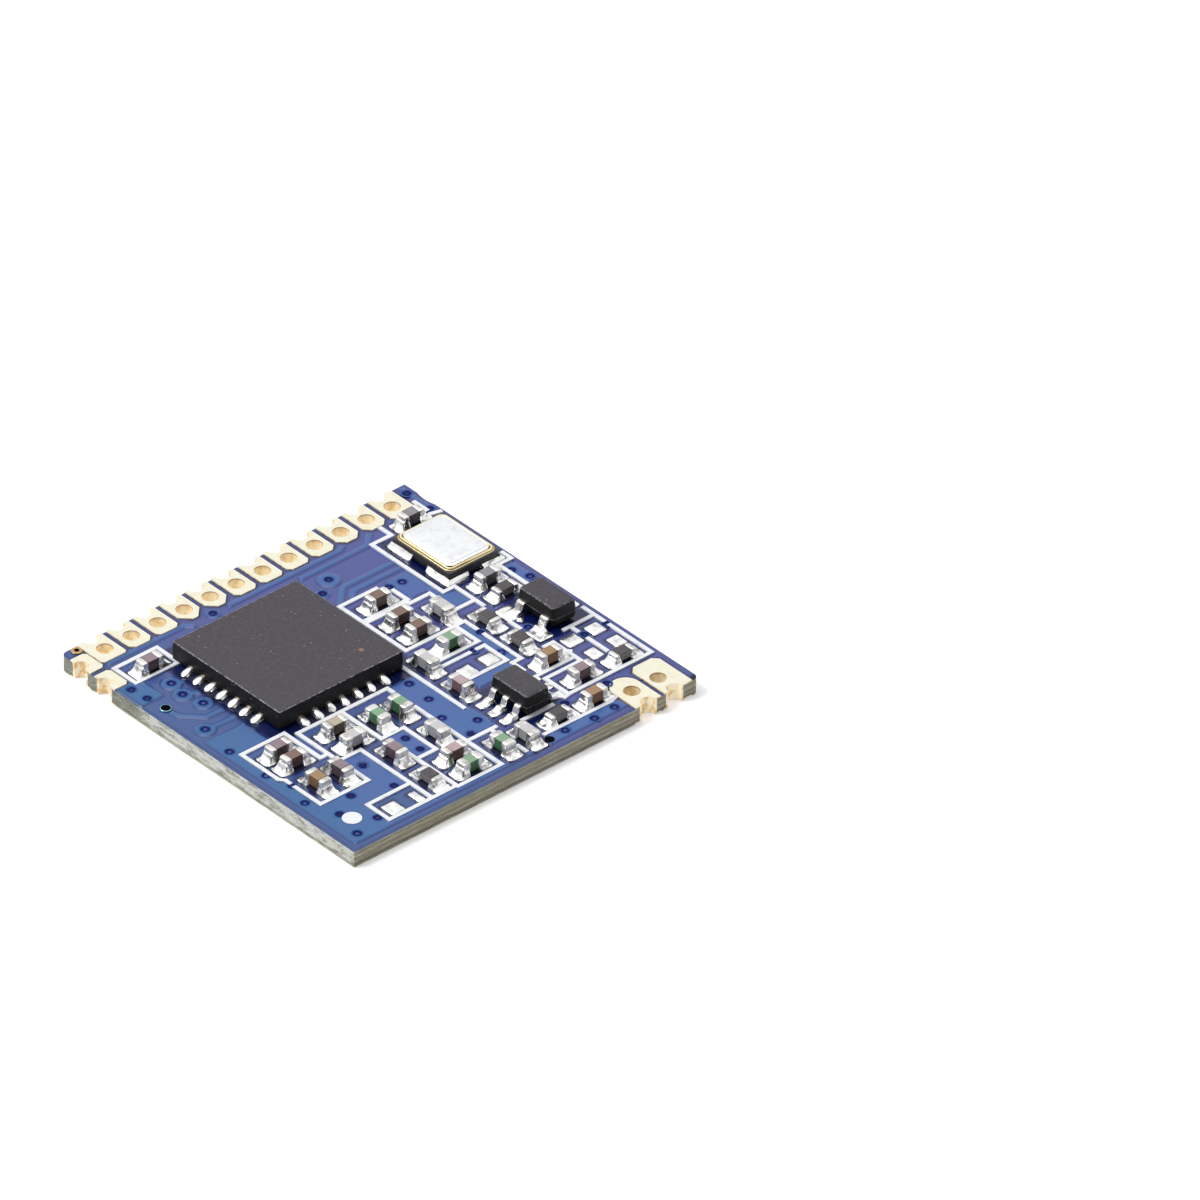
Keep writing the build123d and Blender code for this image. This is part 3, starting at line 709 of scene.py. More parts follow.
class Shape:
    """A mesh under construction, in millimetres, with named values at its points."""

    def __init__(self, *layers: str) -> None:
        """Start an empty shape."""
        self.mesh = bmesh.new()
        self.layers = {name: self.mesh.verts.layers.float.new(name) for name in layers}

    def ring(
        self, points: Sequence[Sequence[float]], turn: Matrix | None = None, **values: float
    ) -> list[bmesh.types.BMVert]:
        """Add a row of points.

        Args:
            points: Their places.
            turn: The turn and move that they get.
            values: The value of each named layer there.

        Returns:
            The points of the mesh.
        """
        made = []
        for point in points:
            place = Vector(point)
            vertex = self.mesh.verts.new(turn @ place if turn else place)
            for name, value in values.items():
                vertex[self.layers[name]] = value
            made.append(vertex)
        return made

    def bridge(
        self, first: list[bmesh.types.BMVert], second: list[bmesh.types.BMVert], closed: bool = True
    ) -> None:
        """Add the faces between two rows of as many points."""
        count = len(first)
        for k in range(count if closed else count - 1):
            after = (k + 1) % count
            self.mesh.faces.new((first[k], first[after], second[after], second[k]))

    def loft(self, rings: list[list[bmesh.types.BMVert]], caps: bool = True) -> None:
        """Join rings one after the other, and close the first and last."""
        for first, second in zip(rings, rings[1:]):
            self.bridge(first, second)
        if caps:
            self.mesh.faces.new(rings[0][::-1])
            self.mesh.faces.new(rings[-1])

    def block(
        self, low: Triple, high: Triple, radius: float, turn: Matrix, steps: int = 3
    ) -> None:
        """Add a block with rounded edges.

        Args:
            low: Its lowest corner.
            high: Its highest corner.
            radius: The radius of its edges.
            turn: The turn and move that it gets.
            steps: How finely the edges are rounded.
        """
        size = Vector(high) - Vector(low)
        middle = (Vector(high) + Vector(low)) / 2
        rings = []
        for k in range(2 * steps + 2):
            lower = k <= steps
            angle = math.pi / 2 * ((k if lower else k - steps - 1) / steps)
            sink = radius * (1 - (math.sin(angle) if lower else math.cos(angle)))
            lift = radius * ((1 - math.cos(angle)) if lower else math.sin(angle))
            z = low[2] + lift if lower else high[2] - radius + lift
            outline = rounded_outline(size.x - 2 * sink, size.y - 2 * sink, radius, steps)
            points = [(middle.x + x, middle.y + y, z) for x, y in outline]
            rings.append(self.ring(points, turn))
        self.loft(rings)

    def heap(
        self,
        low: Point,
        high: Point,
        base: float,
        height: Callable[[Grid, Grid], Grid],
        turn: Matrix,
        counts: tuple[int, int] = (16, 16),
        corner: float = 0.08,
    ) -> None:
        """Add a mound on a rectangle with worn corners.

        Args:
            low: The rectangle's lowest corner.
            high: Its highest corner.
            base: The height of its foot.
            height: The height of its surface at places on the rectangle.
            turn: The turn and move that it gets.
            counts: How many points it has each way.
            corner: How far its corners are worn.
        """
        u, v = np.meshgrid(np.linspace(-1, 1, counts[0]), np.linspace(-1, 1, counts[1]))
        half = np.subtract(high, low) / 2
        middle = np.add(high, low) / 2
        wear = 0.29 * np.abs(u * v) ** 6
        x = middle[0] + u * (half[0] - corner * wear)
        y = middle[1] + v * (half[1] - corner * wear)
        z = height(x, y)
        rows = [self.ring(np.stack((x[j], y[j], z[j]), axis=1), turn) for j in range(counts[1])]
        for first, second in zip(rows, rows[1:]):
            self.bridge(first, second, closed=False)
        rim = rows[0][:-1] + [row[-1] for row in rows[:-1]]
        rim += rows[-1][:0:-1] + [row[0] for row in rows[:0:-1]]
        foot = self.ring([(vertex.co.x, vertex.co.y, base) for vertex in rim])
        self.bridge(rim, foot)
        self.mesh.faces.new(foot[::-1])

    def lathe(
        self, middle: Vector, profile: Sequence[tuple], sides: int, names: Sequence[str] = ()
    ) -> None:
        """Add a round form.

        Args:
            middle: A point on its axis.
            profile: The radius, height and named values of each ring.
            sides: How many points a ring has.
            names: The names of those values.
        """
        rings = []
        ways = [math.tau * k / sides for k in range(sides)]
        for radius, rise, *values in profile:
            points = [(radius * math.cos(way), radius * math.sin(way), rise) for way in ways]
            rings.append(self.ring(points, Matrix.Translation(middle), **dict(zip(names, values))))
        for first, second in zip(rings, rings[1:]):
            self.bridge(first, second)
        self.mesh.faces.new(rings[-1])

    def finish(
        self,
        name: str,
        wear: Finish,
        slot: str,
        replaces: Sequence[str] = (),
        smooth_degrees: float = 42.0,
    ) -> bpy.types.Object:
        """Turn the shape into a piece of the scene, and drop the shape.

        Args:
            name: The piece's name.
            wear: Its finish.
            slot: The record's material slot; it is not used.
            replaces: The CAD nodes that it stands for.
            smooth_degrees: Edges sharper than this stay sharp.

        Returns:
            The piece.
        """
        shape = self.mesh
        bmesh.ops.recalc_face_normals(shape, faces=shape.faces)
        bmesh.ops.scale(shape, vec=(MM, MM, MM), verts=shape.verts)
        limit = math.radians(smooth_degrees)
        for face in shape.faces:
            face.smooth = True
        for edge in shape.edges:
            edge.smooth = len(edge.link_faces) == 2 and edge.calc_face_angle(0.0) < limit
        mesh = bpy.data.meshes.new(name)
        shape.to_mesh(mesh)
        shape.free()
        return as_piece(name, mesh, wear, replaces)


def as_piece(
    name: str, mesh: bpy.types.Mesh, wear: Finish, replaces: Sequence[str] = ()
) -> bpy.types.Object:
    """Link a mesh in metres as a piece of the module.

    Args:
        name: The piece's name.
        mesh: Its mesh.
        wear: Its finish.
        replaces: The CAD nodes that it stands for.

    Returns:
        The piece.
    """
    piece = bpy.data.objects.new(name, mesh)
    bpy.context.scene.collection.objects.link(piece)
    mesh.materials.append(wear.material())
    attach(piece, BODY)
    for node in replaces:
        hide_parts(node)
    LOG.info("%s: %d faces, %s", name, len(mesh.polygons), wear.name)
    return piece


def dress(node: str, finish: Finish, bevel_mm: float = 0.0) -> None:
    """Give a CAD node a finish, and soften its edges.

    Args:
        node: The node.
        finish: Its finish.
        bevel_mm: The width of the bevel on its edges.
    """
    piece = frame["nodes"][node]
    piece.data.materials.clear()
    piece.data.materials.append(finish.material())
    if bevel_mm:
        weld = piece.modifiers.new("weld", "WELD")
        weld.merge_threshold = WELD_METRES
        bevel = piece.modifiers.new("bevel", "BEVEL")
        bevel.width = bevel_mm * MM
        bevel.segments = 2
        bevel.limit_method = "ANGLE"
        bevel.harden_normals = True
    LOG.info("%s: %s", node, finish.name)


def rounded_outline(width: float, depth: float, radius: float, steps: int = 4) -> list[Point]:
    """The outline of a rectangle with round corners, round its middle.

    Args:
        width: Its size in X.
        depth: Its size in Y.
        radius: The corners' radius.
        steps: How many stretches a corner has.

    Returns:
        Its points, four times one more than steps of them.
    """
    least = 1e-4
    radius = max(min(radius, width / 2 - least, depth / 2 - least), least)
    points = []
    for quarter, (sx, sy) in enumerate(((1, 1), (-1, 1), (-1, -1), (1, -1))):
        for k in range(steps + 1):
            angle = math.pi / 2 * (quarter + k / steps)
            x = sx * (width / 2 - radius) + radius * math.cos(angle)
            y = sy * (depth / 2 - radius) + radius * math.sin(angle)
            points.append((x, y))
    return points


@dataclass(frozen=True)
class Stack:
    """A form made of one rounded rectangle above another, as a moulding or a lid is."""

    width: float
    depth: float
    radius: float
    steps: int = 6

    def add(
        self,
        shape: Shape,
        middle: Vector,
        profile: Sequence[tuple],
        names: Sequence[str] = (),
        caps: bool = True,
    ) -> None:
        """Add the form to a shape.

        Args:
            shape: The shape.
            middle: The middle of its plan.
            profile: The inset, height and named values of each outline.
            names: The names of those values.
            caps: Whether its first and last outlines are closed.
        """
        rings = []
        for inset, z, *values in profile:
            outline = rounded_outline(
                self.width - 2 * inset, self.depth - 2 * inset, self.radius - inset, self.steps
            )
            points = [(middle.x + x, middle.y + y, z) for x, y in outline]
            rings.append(shape.ring(points, **dict(zip(names, values))))
        shape.loft(rings, caps)


class FlatMap:
    """The flat faces of a CAD node at some heights, as signed distances on a grid."""

    reach = 0.6

    def __init__(self, node: str, heights: Sequence[float], tolerance: float = 0.003) -> None:
        """Read the node's faces.

        Args:
            node: The node.
            heights: The heights of the faces, in millimetres.
            tolerance: How far from them a face may be.
        """
        mesh = frame["nodes"][node].data
        points = np.array([vertex.co for vertex in mesh.vertices]) / MM
        points[:, :2] += (Layers.width / 2, Layers.depth / 2)
        self.triangles = []
        sides: dict[tuple, list] = {}
        for polygon in mesh.polygons:
            corners = points[list(polygon.vertices)]
            off = min(np.abs(corners[:, 2] - height).max() for height in heights)
            if off > tolerance:
                continue
            for k in range(1, len(corners) - 1):
                self.triangles.append((corners[0, :2], corners[k, :2], corners[k + 1, :2]))
            for start, end in zip(corners, np.roll(corners, -1, axis=0)):
                ends = (tuple(np.round(start[:2], 4)), tuple(np.round(end[:2], 4)))
                sides.setdefault(tuple(sorted(ends)), []).append(ends)
        self.rim = [ends[0] for ends in sides.values() if len(ends) == 1]

    def read(self, xs: Grid, ys: Grid) -> tuple[Grid, Grid, Grid]:
        """Read the map on a grid.

        Args:
            xs: The grid's places in X, in order.
            ys: Its places in Y.

        Returns:
            The signed distance to the faces' rim, below zero inside them, and the X and Y of the
            rim's nearest point.
        """
        x, y = np.meshgrid(xs, ys)
        away = np.full(x.shape, self.reach)
        near_x, near_y = x.copy(), y.copy()
        for start, end in self.rim:
            block = self._block(xs, ys, (start, end), self.reach)
            bx, by = x[block], y[block]
            run = np.subtract(end, start)
            share = ((bx - start[0]) * run[0] + (by - start[1]) * run[1]) / max(run @ run, 1e-12)
            share = np.clip(share, 0, 1)
            px, py = start[0] + share * run[0], start[1] + share * run[1]
            distance = np.hypot(bx - px, by - py)
            closer = distance < away[block]
            away[block] = np.where(closer, distance, away[block])
            near_x[block] = np.where(closer, px, near_x[block])
            near_y[block] = np.where(closer, py, near_y[block])
        inside = np.zeros(x.shape, dtype=bool)
        for corners in self.triangles:
            block = self._block(xs, ys, corners, 0.0)
            inside[block] |= self._covers(x[block], y[block], corners)
        return np.where(inside, -away, away), near_x, near_y

    @staticmethod
    def _block(xs: Grid, ys: Grid, points: Sequence, margin: float) -> tuple[slice, slice]:
        """The stretch of a grid round some points."""
        low, high = np.min(points, axis=0) - margin, np.max(points, axis=0) + margin
        columns = slice(int(np.searchsorted(xs, low[0])), int(np.searchsorted(xs, high[0])) + 1)
        rows = slice(int(np.searchsorted(ys, low[1])), int(np.searchsorted(ys, high[1])) + 1)
        return rows, columns

    @staticmethod
    def _covers(x: Grid, y: Grid, corners: Sequence) -> Grid:
        """Whether a triangle covers each place."""
        first, second, third = corners
        sides = [
            (end[0] - start[0]) * (y - start[1]) - (end[1] - start[1]) * (x - start[0])
            for start, end in ((first, second), (second, third), (third, first))
        ]
        low = np.minimum(np.minimum(sides[0], sides[1]), sides[2])
        high = np.maximum(np.maximum(sides[0], sides[1]), sides[2])
        return (low >= -1e-9) | (high <= 1e-9)


def to_rect(x: Grid, y: Grid, rect: Rect) -> Grid:
    """The signed distance to a rectangle given by two corners."""
    across = np.abs(x - (rect[0] + rect[2]) / 2) - (rect[2] - rect[0]) / 2
    along = np.abs(y - (rect[1] + rect[3]) / 2) - (rect[3] - rect[1]) / 2
    outside = np.hypot(np.maximum(across, 0), np.maximum(along, 0))
    return outside + np.minimum(np.maximum(across, along), 0)


def to_stroke(x: Grid, y: Grid, start: Point, end: Point, width: float) -> Grid:
    """The signed distance to a line with round ends."""
    run = np.subtract(end, start)
    share = ((x - start[0]) * run[0] + (y - start[1]) * run[1]) / max(run @ run, 1e-12)
    share = np.clip(share, 0, 1)
    return np.hypot(x - start[0] - share * run[0], y - start[1] - share * run[1]) - width / 2


def to_disc(x: Grid, y: Grid, middle: Point, diameter: float) -> Grid:
    """The signed distance to a disc."""
    return np.hypot(x - middle[0], y - middle[1]) - diameter / 2


# Board


@dataclass
class CoatedFace:
    """The coating of the top face: a sheet that rises over copper and sinks into small holes.

    A shade gives how far from the parts the painted shade is full, how far it ends, and its
    strength;
    some of that dark stands for flux. A ringed pad gives its middle and its diameter, and has a
    hole in it. The stubs are short tracks that run from pads towards the transceiver.
    """

    cell: float = 0.05
    soft: float = 0.06
    rim_width: float = 0.06
    pit_radius: float = 0.17
    pit_depth: float = 0.06
    pit_wall: float = 0.04
    ring_diameter: float = 0.50
    dark_ring_diameter: float = 0.40
    trace_width: float = 0.22
    # The line of painted shade along the copper's edges.
    line_place: float = 0.03
    line_width: float = 0.035
    line_strength: float = 0.55
    # Painted shade round the parts, with some flux: where it is full, where it ends, its strength.
    transceiver_shade: Triple = (0.50, 0.74, 0.95)
    package_shade: Triple = (0.30, 0.62, 0.95)
    chip_shade: Triple = (0.15, 0.42, 0.88)
    # Painted shade round the windows, faded at the board's edge.
    window_shade: float = 0.30
    window_strength: float = 0.95
    edge_fade: float = 0.12
    edge_shade: float = 0.15
    seam_inset: float = 3.0
    dark_plug: Point = (0.05, 0.35)
    pale_plug: Point = (0.5, 0.95)
    hole_sizes: Point = (0.92, 1.12)
    finish: Finish = field(default_factory=lambda: Coating("blue_coating"))
    # The holes' painted shade is a deeper navy, with less gloss.
    hole_finish: Finish = field(
        default_factory=lambda: Coating(
            "coated_hole", shade=srgb(6, 14, 78), plug=srgb(78, 84, 166), roughness=0.55, gloss=0.12
        )
    )

    # Ringed pads whose hole holds more painted shade.
    dark_ringed_pads: tuple[Triple, ...] = (
        (10.50, 13.48, 0.90),
        (9.74, 12.94, 0.56),
        (5.86, 14.62, 0.56),
    )
    ringed_pads: tuple[Triple, ...] = (
        (1.82, 12.25, 0.80),
        (1.68, 11.45, 0.80),
        (1.90, 10.55, 0.76),
        (0.87, 9.25, 0.80),
    )
    stubs: tuple[tuple[Point, Point], ...] = (
        ((0.87, 9.20), (2.24, 9.16)),
        ((1.82, 12.25), (2.24, 12.10)),
        ((1.68, 11.45), (2.24, 11.20)),
        ((1.90, 10.55), (2.24, 10.52)),
    )
    # Holes whose dimple holds more painted shade round a darker plug.
    dark_holes: tuple[Point, ...] = (
        (2.15, 2.65), (1.10, 2.05), (3.75, 2.10), (3.72, 3.80), (2.00, 1.00), (6.00, 4.05),
        (5.97, 3.20), (8.00, 2.70), (11.55, 6.60), (12.50, 7.30), (16.35, 15.80), (16.35, 14.50),
        (11.85, 11.65), (15.30, 4.70), (16.35, 4.68), (13.85, 1.85), (11.85, 1.90),
        (0.45, 12.90), (0.53, 12.10),
    )
    pale_holes: tuple[Point, ...] = (
        (0.80, 0.75), (0.60, 3.40), (7.85, 4.15), (8.75, 3.20), (8.27, 5.35), (8.37, 6.55),
        (10.75, 0.65), (12.05, 0.50), (13.07, 0.55), (12.25, 5.85), (12.45, 11.60),
        (16.00, 9.55), (16.27, 8.80), (14.05, 6.40), (0.62, 7.60), (0.65, 5.60), (0.95, 4.50),
    )

    def all_dark_holes(self) -> list[Point]:
        """The coated holes that are dark, those in ringed pads last."""
        return [*self.dark_holes, *((x, y) for x, y, _ in self.dark_ringed_pads)]

    def all_pale_holes(self) -> list[Point]:
        """The coated holes with a pale plug, those in ringed pads last."""
        return [*self.pale_holes, *((x, y) for x, y, _ in self.ringed_pads)]

    def to_copper(self, xs: Grid, ys: Grid) -> Grid:
        """The signed distance to copper under the coating, on a grid."""
        nearest, _, _ = FlatMap("top_coating", (Layers.coating_top,)).read(xs, ys)
        x, y = np.meshgrid(xs, ys)
        for start, end in self.stubs:
            nearest = np.minimum(nearest, to_stroke(x, y, start, end, self.trace_width))
        for px, py, diameter in self.dark_ringed_pads + self.ringed_pads:
            nearest = np.minimum(nearest, to_disc(x, y, (px, py), diameter))
        for hole in self.all_pale_holes():
            nearest = np.minimum(nearest, to_disc(x, y, hole, self.ring_diameter))
        for hole in self.all_dark_holes():
            nearest = np.minimum(nearest, to_disc(x, y, hole, self.dark_ring_diameter))
        return nearest

    def heights(self, x: Grid, y: Grid, raised: Grid, rim: Grid) -> Grid:
        """The height of the sheet: up over copper, and down at its rim and in its small holes.

        Args:
            x: Where the sheet's points are in X.
            y: Where they are in Y.
            raised: How far the copper lifts each of them, from 0 to 1.
            rim: Their signed distance to the coating's rim.

        Returns:
            The height at each point.
        """
        z = Layers.low_coating_top + (Layers.coating_top - Layers.low_coating_top) * raised
        edge = np.clip(-rim / self.rim_width, 0, 1)
        z = Layers.laminate_top + (z - Layers.laminate_top) * np.sqrt(edge)
        for hole in self.all_dark_holes() + self.all_pale_holes():
            pit = np.clip(-to_disc(x, y, hole, 2 * self.pit_radius) / self.pit_wall, 0, 1)
            z -= pit * self.pit_depth
        return np.maximum(z, Layers.laminate_top)

    def shades(self, x: Grid, y: Grid, rim: Grid) -> Grid:
        """How much painted shade darkens the sheet beside its windows and round the parts.

        Args:
            x: Where the sheet's points are in X.
            y: Where they are in Y.
            rim: Their signed distance to the coating's rim.

        Returns:
            The painted shade at each point, from 0 to 1.
        """
        packages = ("radio_switch_body", "regulator_body", "crystal_base")
        groups = (
            (("transceiver_body",), self.transceiver_shade),
            (packages, self.package_shade),
            (chip_nodes(), self.chip_shade),
        )
        # Painted shade round the windows, and painted shadow round the parts.
        shade = np.clip(1 + rim / self.window_shade, 0, 1) ** 2 * self.window_strength
        for nodes, (full, end, strength) in groups:
            shade = np.maximum(shade, self.part_shadow(x, y, nodes, (full, end)) * strength)
        at_edge = np.minimum.reduce((x, y, Layers.width - x, Layers.depth - y))
        return shade * np.clip(at_edge / self.edge_fade, self.edge_shade, 1)

    @staticmethod
    def part_shadow(x: Grid, y: Grid, nodes: Sequence[str], reach: Point) -> Grid:
        """How much painted shadow, with some flux, darkens the sheet round some parts.

        Args:
            x: Where the sheet's points are in X.
            y: Where they are in Y.
            nodes: The bodies of the parts.
            reach: How far from them the dark is full, and how far it ends.

        Returns:
            The painted shadow at each point, from 0 to 1.
        """
        nearest = np.full(x.shape, FAR_MM)
        for node in nodes:
            for rect in land_rects(node):
                nearest = np.minimum(nearest, to_rect(x, y, rect))
        return np.clip((reach[1] - nearest) / (reach[1] - reach[0]), 0, 1)

    def build(self) -> None:
        """Make the sheet in two halves, and the small holes."""
        columns = int(Layers.width / self.cell) + 1
        rows = int(Layers.depth / self.cell) + 1
        xs, ys = np.linspace(0, Layers.width, columns), np.linspace(0, Layers.depth, rows)
        x, y = np.meshgrid(xs, ys)
        copper = self.to_copper(xs, ys)
        tops = (Layers.low_coating_top, Layers.coating_top)
        rim, rim_x, rim_y = FlatMap("top_coating", tops).read(xs, ys)
        raised = np.clip(0.5 - copper / self.soft, 0, 1)
        raised = raised * raised * (3 - 2 * raised)
        # A line of painted shade along the copper's edges.
        off_line = (copper - self.line_place) / self.line_width
        values = {
            "copper": raised,
            "line": np.exp(-(off_line**2)) * self.line_strength,
            "shade": self.shades(x, y, rim),
            "plug": np.zeros(x.shape),
        }
        z = self.heights(x, y, raised, rim)
        inside = rim <= 0
        near = self.grown(inside)
        snapped = near & ~inside
        points = np.stack((np.where(snapped, rim_x, x), np.where(snapped, rim_y, y), z), axis=-1)
        start = Layers.width / 2 + node_box("transceiver_body")[0].x
        seam = int(np.searchsorted(xs, start + self.seam_inset))
        for side, part in (("left", slice(0, seam + 1)), ("right", slice(seam, columns))):
            held = {name: value[:, part] for name, value in values.items()}
            self.add_sheet(side, points[:, part], near[:, part], inside[:, part], held)
        self.add_holes()

    @staticmethod
    def grown(inside: Grid) -> Grid:
        """Points of a grid that are chosen, or have a neighbour that is, corners too."""
        near = inside.copy()
        near[1:] |= inside[:-1]
        near[:-1] |= inside[1:]
        near[:, 1:] |= near[:, :-1]
        near[:, :-1] |= near[:, 1:]
        return near

    def add_sheet(
        self, side: str, points: Grid, near: Grid, inside: Grid, values: dict[str, Grid]
    ) -> None:
        """Make one half of the sheet.

        Args:
            side: Its name.
            points: Its rows of points, on the layout.
            near: Which of them lie on the coating or just off it.
            inside: Which of them lie on the coating.
            values: The values that they hold.
        """
        corners = [near[:-1, :-1], near[:-1, 1:], near[1:, 1:], near[1:, :-1]]
        some = inside[:-1, :-1] | inside[:-1, 1:] | inside[1:, 1:] | inside[1:, :-1]
        kept = np.logical_and.reduce(corners) & some
        index = np.arange(near.size).reshape(near.shape)
        around = (index[:-1, :-1], index[:-1, 1:], index[1:, 1:], index[1:, :-1])
        quads = np.stack(around, axis=-1)[kept]
        used, packed = np.unique(quads, return_inverse=True)
        packed = packed.reshape(quads.shape)
        points = points.reshape(-1, 3)[used]
        points[:, :2] -= (Layers.width / 2, Layers.depth / 2)
        name = f"coated_face_{side}"
        mesh = bpy.data.meshes.new(name)
        mesh.from_pydata((points * MM).tolist(), [], packed.tolist())
        for layer, value in values.items():
            stored = mesh.attributes.new(layer, "FLOAT", "POINT")
            stored.data.foreach_set("value", value.reshape(-1)[used].astype(np.float32))
        mesh.polygons.foreach_set("use_smooth", [True] * len(mesh.polygons))
        mesh.update()
        as_piece(name, mesh, self.finish, ("top_coating",))

    def add_holes(self) -> None:
        """Make each hole's coated dimple: a groove of painted shade round a paler plug."""
        top = Layers.coating_top
        chance = np.random.default_rng(SEED)
        shape = Shape("copper", "line", "shade", "plug")
        dark = [(hole, self.dark_plug) for hole in self.all_dark_holes()]
        pale = [(hole, self.pale_plug) for hole in self.all_pale_holes()]
        for hole, plugs in dark + pale:
            plug = chance.uniform(*plugs)
            size = chance.uniform(*self.hole_sizes)
            # Each ring: its radius, its height, copper, painted shade and plug.
            profile = (
                (0.240 * size, top + 0.001, 1, 0.05, 0.0),
                (0.205 * size, top + 0.006, 1, 0.15, 0.0),
                (0.175 * size, top + 0.001, 1, 0.5, 0.0),
                (0.150 * size, top - 0.014, 1, 1.1, 0.0),
                (0.125 * size, top - 0.028, 1, 1.4, 0.0),
                (0.095 * size, top - 0.026, 1, 1.4, 0.0),
                (0.070 * size, top - 0.018, 1, 1.2 - plug * 0.5, plug * 0.6),
                (0.035 * size, top - 0.014, 1, 1.0 - plug, plug),
            )
            shape.lathe(on_layout(*hole), profile, 22, ("copper", "shade", "plug"))
        shape.finish("coated_holes", self.hole_finish, "coating", smooth_degrees=80)


@dataclass
class OpenHoles:
    """The small plated holes that the coating leaves open, and one filled with solder."""

    rims: tuple[tuple[Point, float, Triple], ...] = (
        ((0.65, 11.20), 0.225, srgb(140, 186, 196)),
        ((0.55, 16.10), 0.22, srgb(196, 160, 110)),
    )
    bores: tuple[tuple[Point, float], ...] = (
        ((0.65, 11.20), 0.19),
        ((0.55, 16.10), 0.10),
        ((9.93, 0.58), 0.19),
    )
    filled: Point = (14.12, 6.92)
    # Painted shade of the bores: past full, so that its noise cannot lighten it.
    full_shade: float = 1.6
    bore_finish: Finish = field(
        default_factory=lambda: Coating(
            "painted_bore_shade", shade=srgb(3, 4, 12), roughness=0.9, gloss=0.04
        )
    )

    def build(self) -> None:
        """Make the rims, the painted shade of the bores and the filled hole."""
        for number, (place, radius, colour) in enumerate(self.rims, 1):
            self.add_rim(number, place, radius, colour)
        self.add_bores()
        self.add_fill()

    @staticmethod
    def add_rim(number: int, place: Point, radius: float, colour: Triple) -> None:
        """Make the thin metal rim of one hole.

        Args:
            number: Its number, for its name.
            place: The hole's place.
            radius: The rim's radius.
            colour: Its colour.
        """
        top = Layers.coating_top
        profile = (
            (radius, top - 0.01),
            (radius - 0.015, top + 0.005),
            (radius - 0.04, top + 0.006),
        )
        shape = Shape()
        shape.lathe(on_layout(*place), profile, 28)
        tinned = BrightMetal(f"hole_rim_{number}", colour, colour, roughness=0.3)
        shape.finish(f"open_hole_rim_{number}", tinned, "tinned")

    def add_bores(self) -> None:
        """Make the painted shade of the open bores: a dark disc over each."""
        top, shade = Layers.coating_top, self.full_shade
        shape = Shape("copper", "line", "shade", "plug")
        for place, radius in self.bores:
            profile = ((radius, top + 0.008, 0, shade), (radius - 0.03, top + 0.0085, 0, shade))
            shape.lathe(on_layout(*place), profile, 24, ("copper", "shade"))
        shape.finish("open_bores", self.bore_finish, "coating")

    def add_fill(self) -> None:
        """Make the dome of solder that fills one hole."""
        top = Layers.coating_top
        profile = ((0.15, top - 0.01), (0.14, top + 0.02), (0.10, top + 0.05), (0.04, top + 0.065))
        shape = Shape()
        shape.lathe(on_layout(*self.filled), profile, 20)
        shape.finish("filled_hole", BrightMetal("bright_fill"), "solder", smooth_degrees=80)


@dataclass
class HoleLinings:
    """The plating inside the whole holes, a little uneven, with painted shade at its lip.

    That of the back row has a faint painted glow.
    """

    bore_radius: float = 0.325
    lift: float = 0.007
    unevenness: float = 0.25
    ripples: tuple[Point, ...] = ((3, 9), (7, -21), (11, 34))
    sides: int = 40
    rows: int = 12
    insets: tuple[tuple[str, float], ...] = (
        ("row_contacts", 0.84),
        ("radio_output_contacts", 0.92),
    )
    # Painted shade at the lip, and a faint painted glow.
    finish: Finish = field(
        default_factory=lambda: Plating(
            "hole_gold", wall_deep=srgb(242, 212, 160), lip_shade_share=0.75, glow=0.15
        )
    )

    def build(self) -> None:
        """Make the linings."""
        chance = np.random.default_rng(SEED)
        shape = Shape()
        for node, inset in self.insets:
            for middle in bore_middles(node, inset, self.bore_radius):
                self.add_lining(shape, on_layout(*middle), chance)
        shape.finish("hole_linings", self.finish, "contact_gold", smooth_degrees=180)

    def add_lining(self, shape: Shape, middle: Vector, chance: np.random.Generator) -> None:
        """Add the lining of one hole, which starts flush with the land's rim.

        Args:
            shape: The shape that it goes into.
            middle: The middle of the hole.
            chance: The source of its unevenness.
        """
        turn = np.linspace(0, math.tau, self.sides, endpoint=False)
        phases = chance.uniform(0, math.tau, 4)
        rings = []
        for k, z in enumerate(np.linspace(Layers.land_top, Layers.land_bottom, self.rows)):
            wave = sum(
                np.sin(round_it * turn + phase + down * z)
                for (round_it, down), phase in zip(self.ripples, phases)
            )
            lift = self.lift * (1 + self.unevenness * wave) if k else 0 * turn
            radius = self.bore_radius - lift
            points = np.stack((radius * np.cos(turn), radius * np.sin(turn), z + 0 * turn), 1)
            rings.append(shape.ring(points, Matrix.Translation(middle)))
        shape.loft(rings, caps=False)


def bore_middles(
    node: str, inset: float, radius: float, band: float = 0.03, slack: float = 0.012
) -> list[Point]:
    """The middles of the whole holes of a contact node.

    Args:
        node: The node.
        inset: How far the holes lie from the board's edge.
        radius: Their radius.
        band: How far from the line of middles a point may lie.
        slack: How far two points across a hole may be from its diameter.

    Returns:
        Their places on the layout.
    """
    mesh = frame["nodes"][node].data
    points = np.array([vertex.co for vertex in mesh.vertices]) / MM
    points = points[:, :2] + (Layers.width / 2, Layers.depth / 2)
    line = Layers.depth - inset if points[:, 1].mean() > Layers.depth / 2 else inset
    on_line = points[np.abs(points[:, 1] - line) < band]
    places = sorted(set(np.round(on_line[:, 0], 2)))
    found = []
    for left in places:
        for right in places:
            if abs(right - left - 2 * radius) < slack:
                found.append(((left + right) / 2, line))
    merged = []
    for place in found:
        if not merged or place[0] - merged[-1][0] > radius:
            merged.append(place)
    return merged


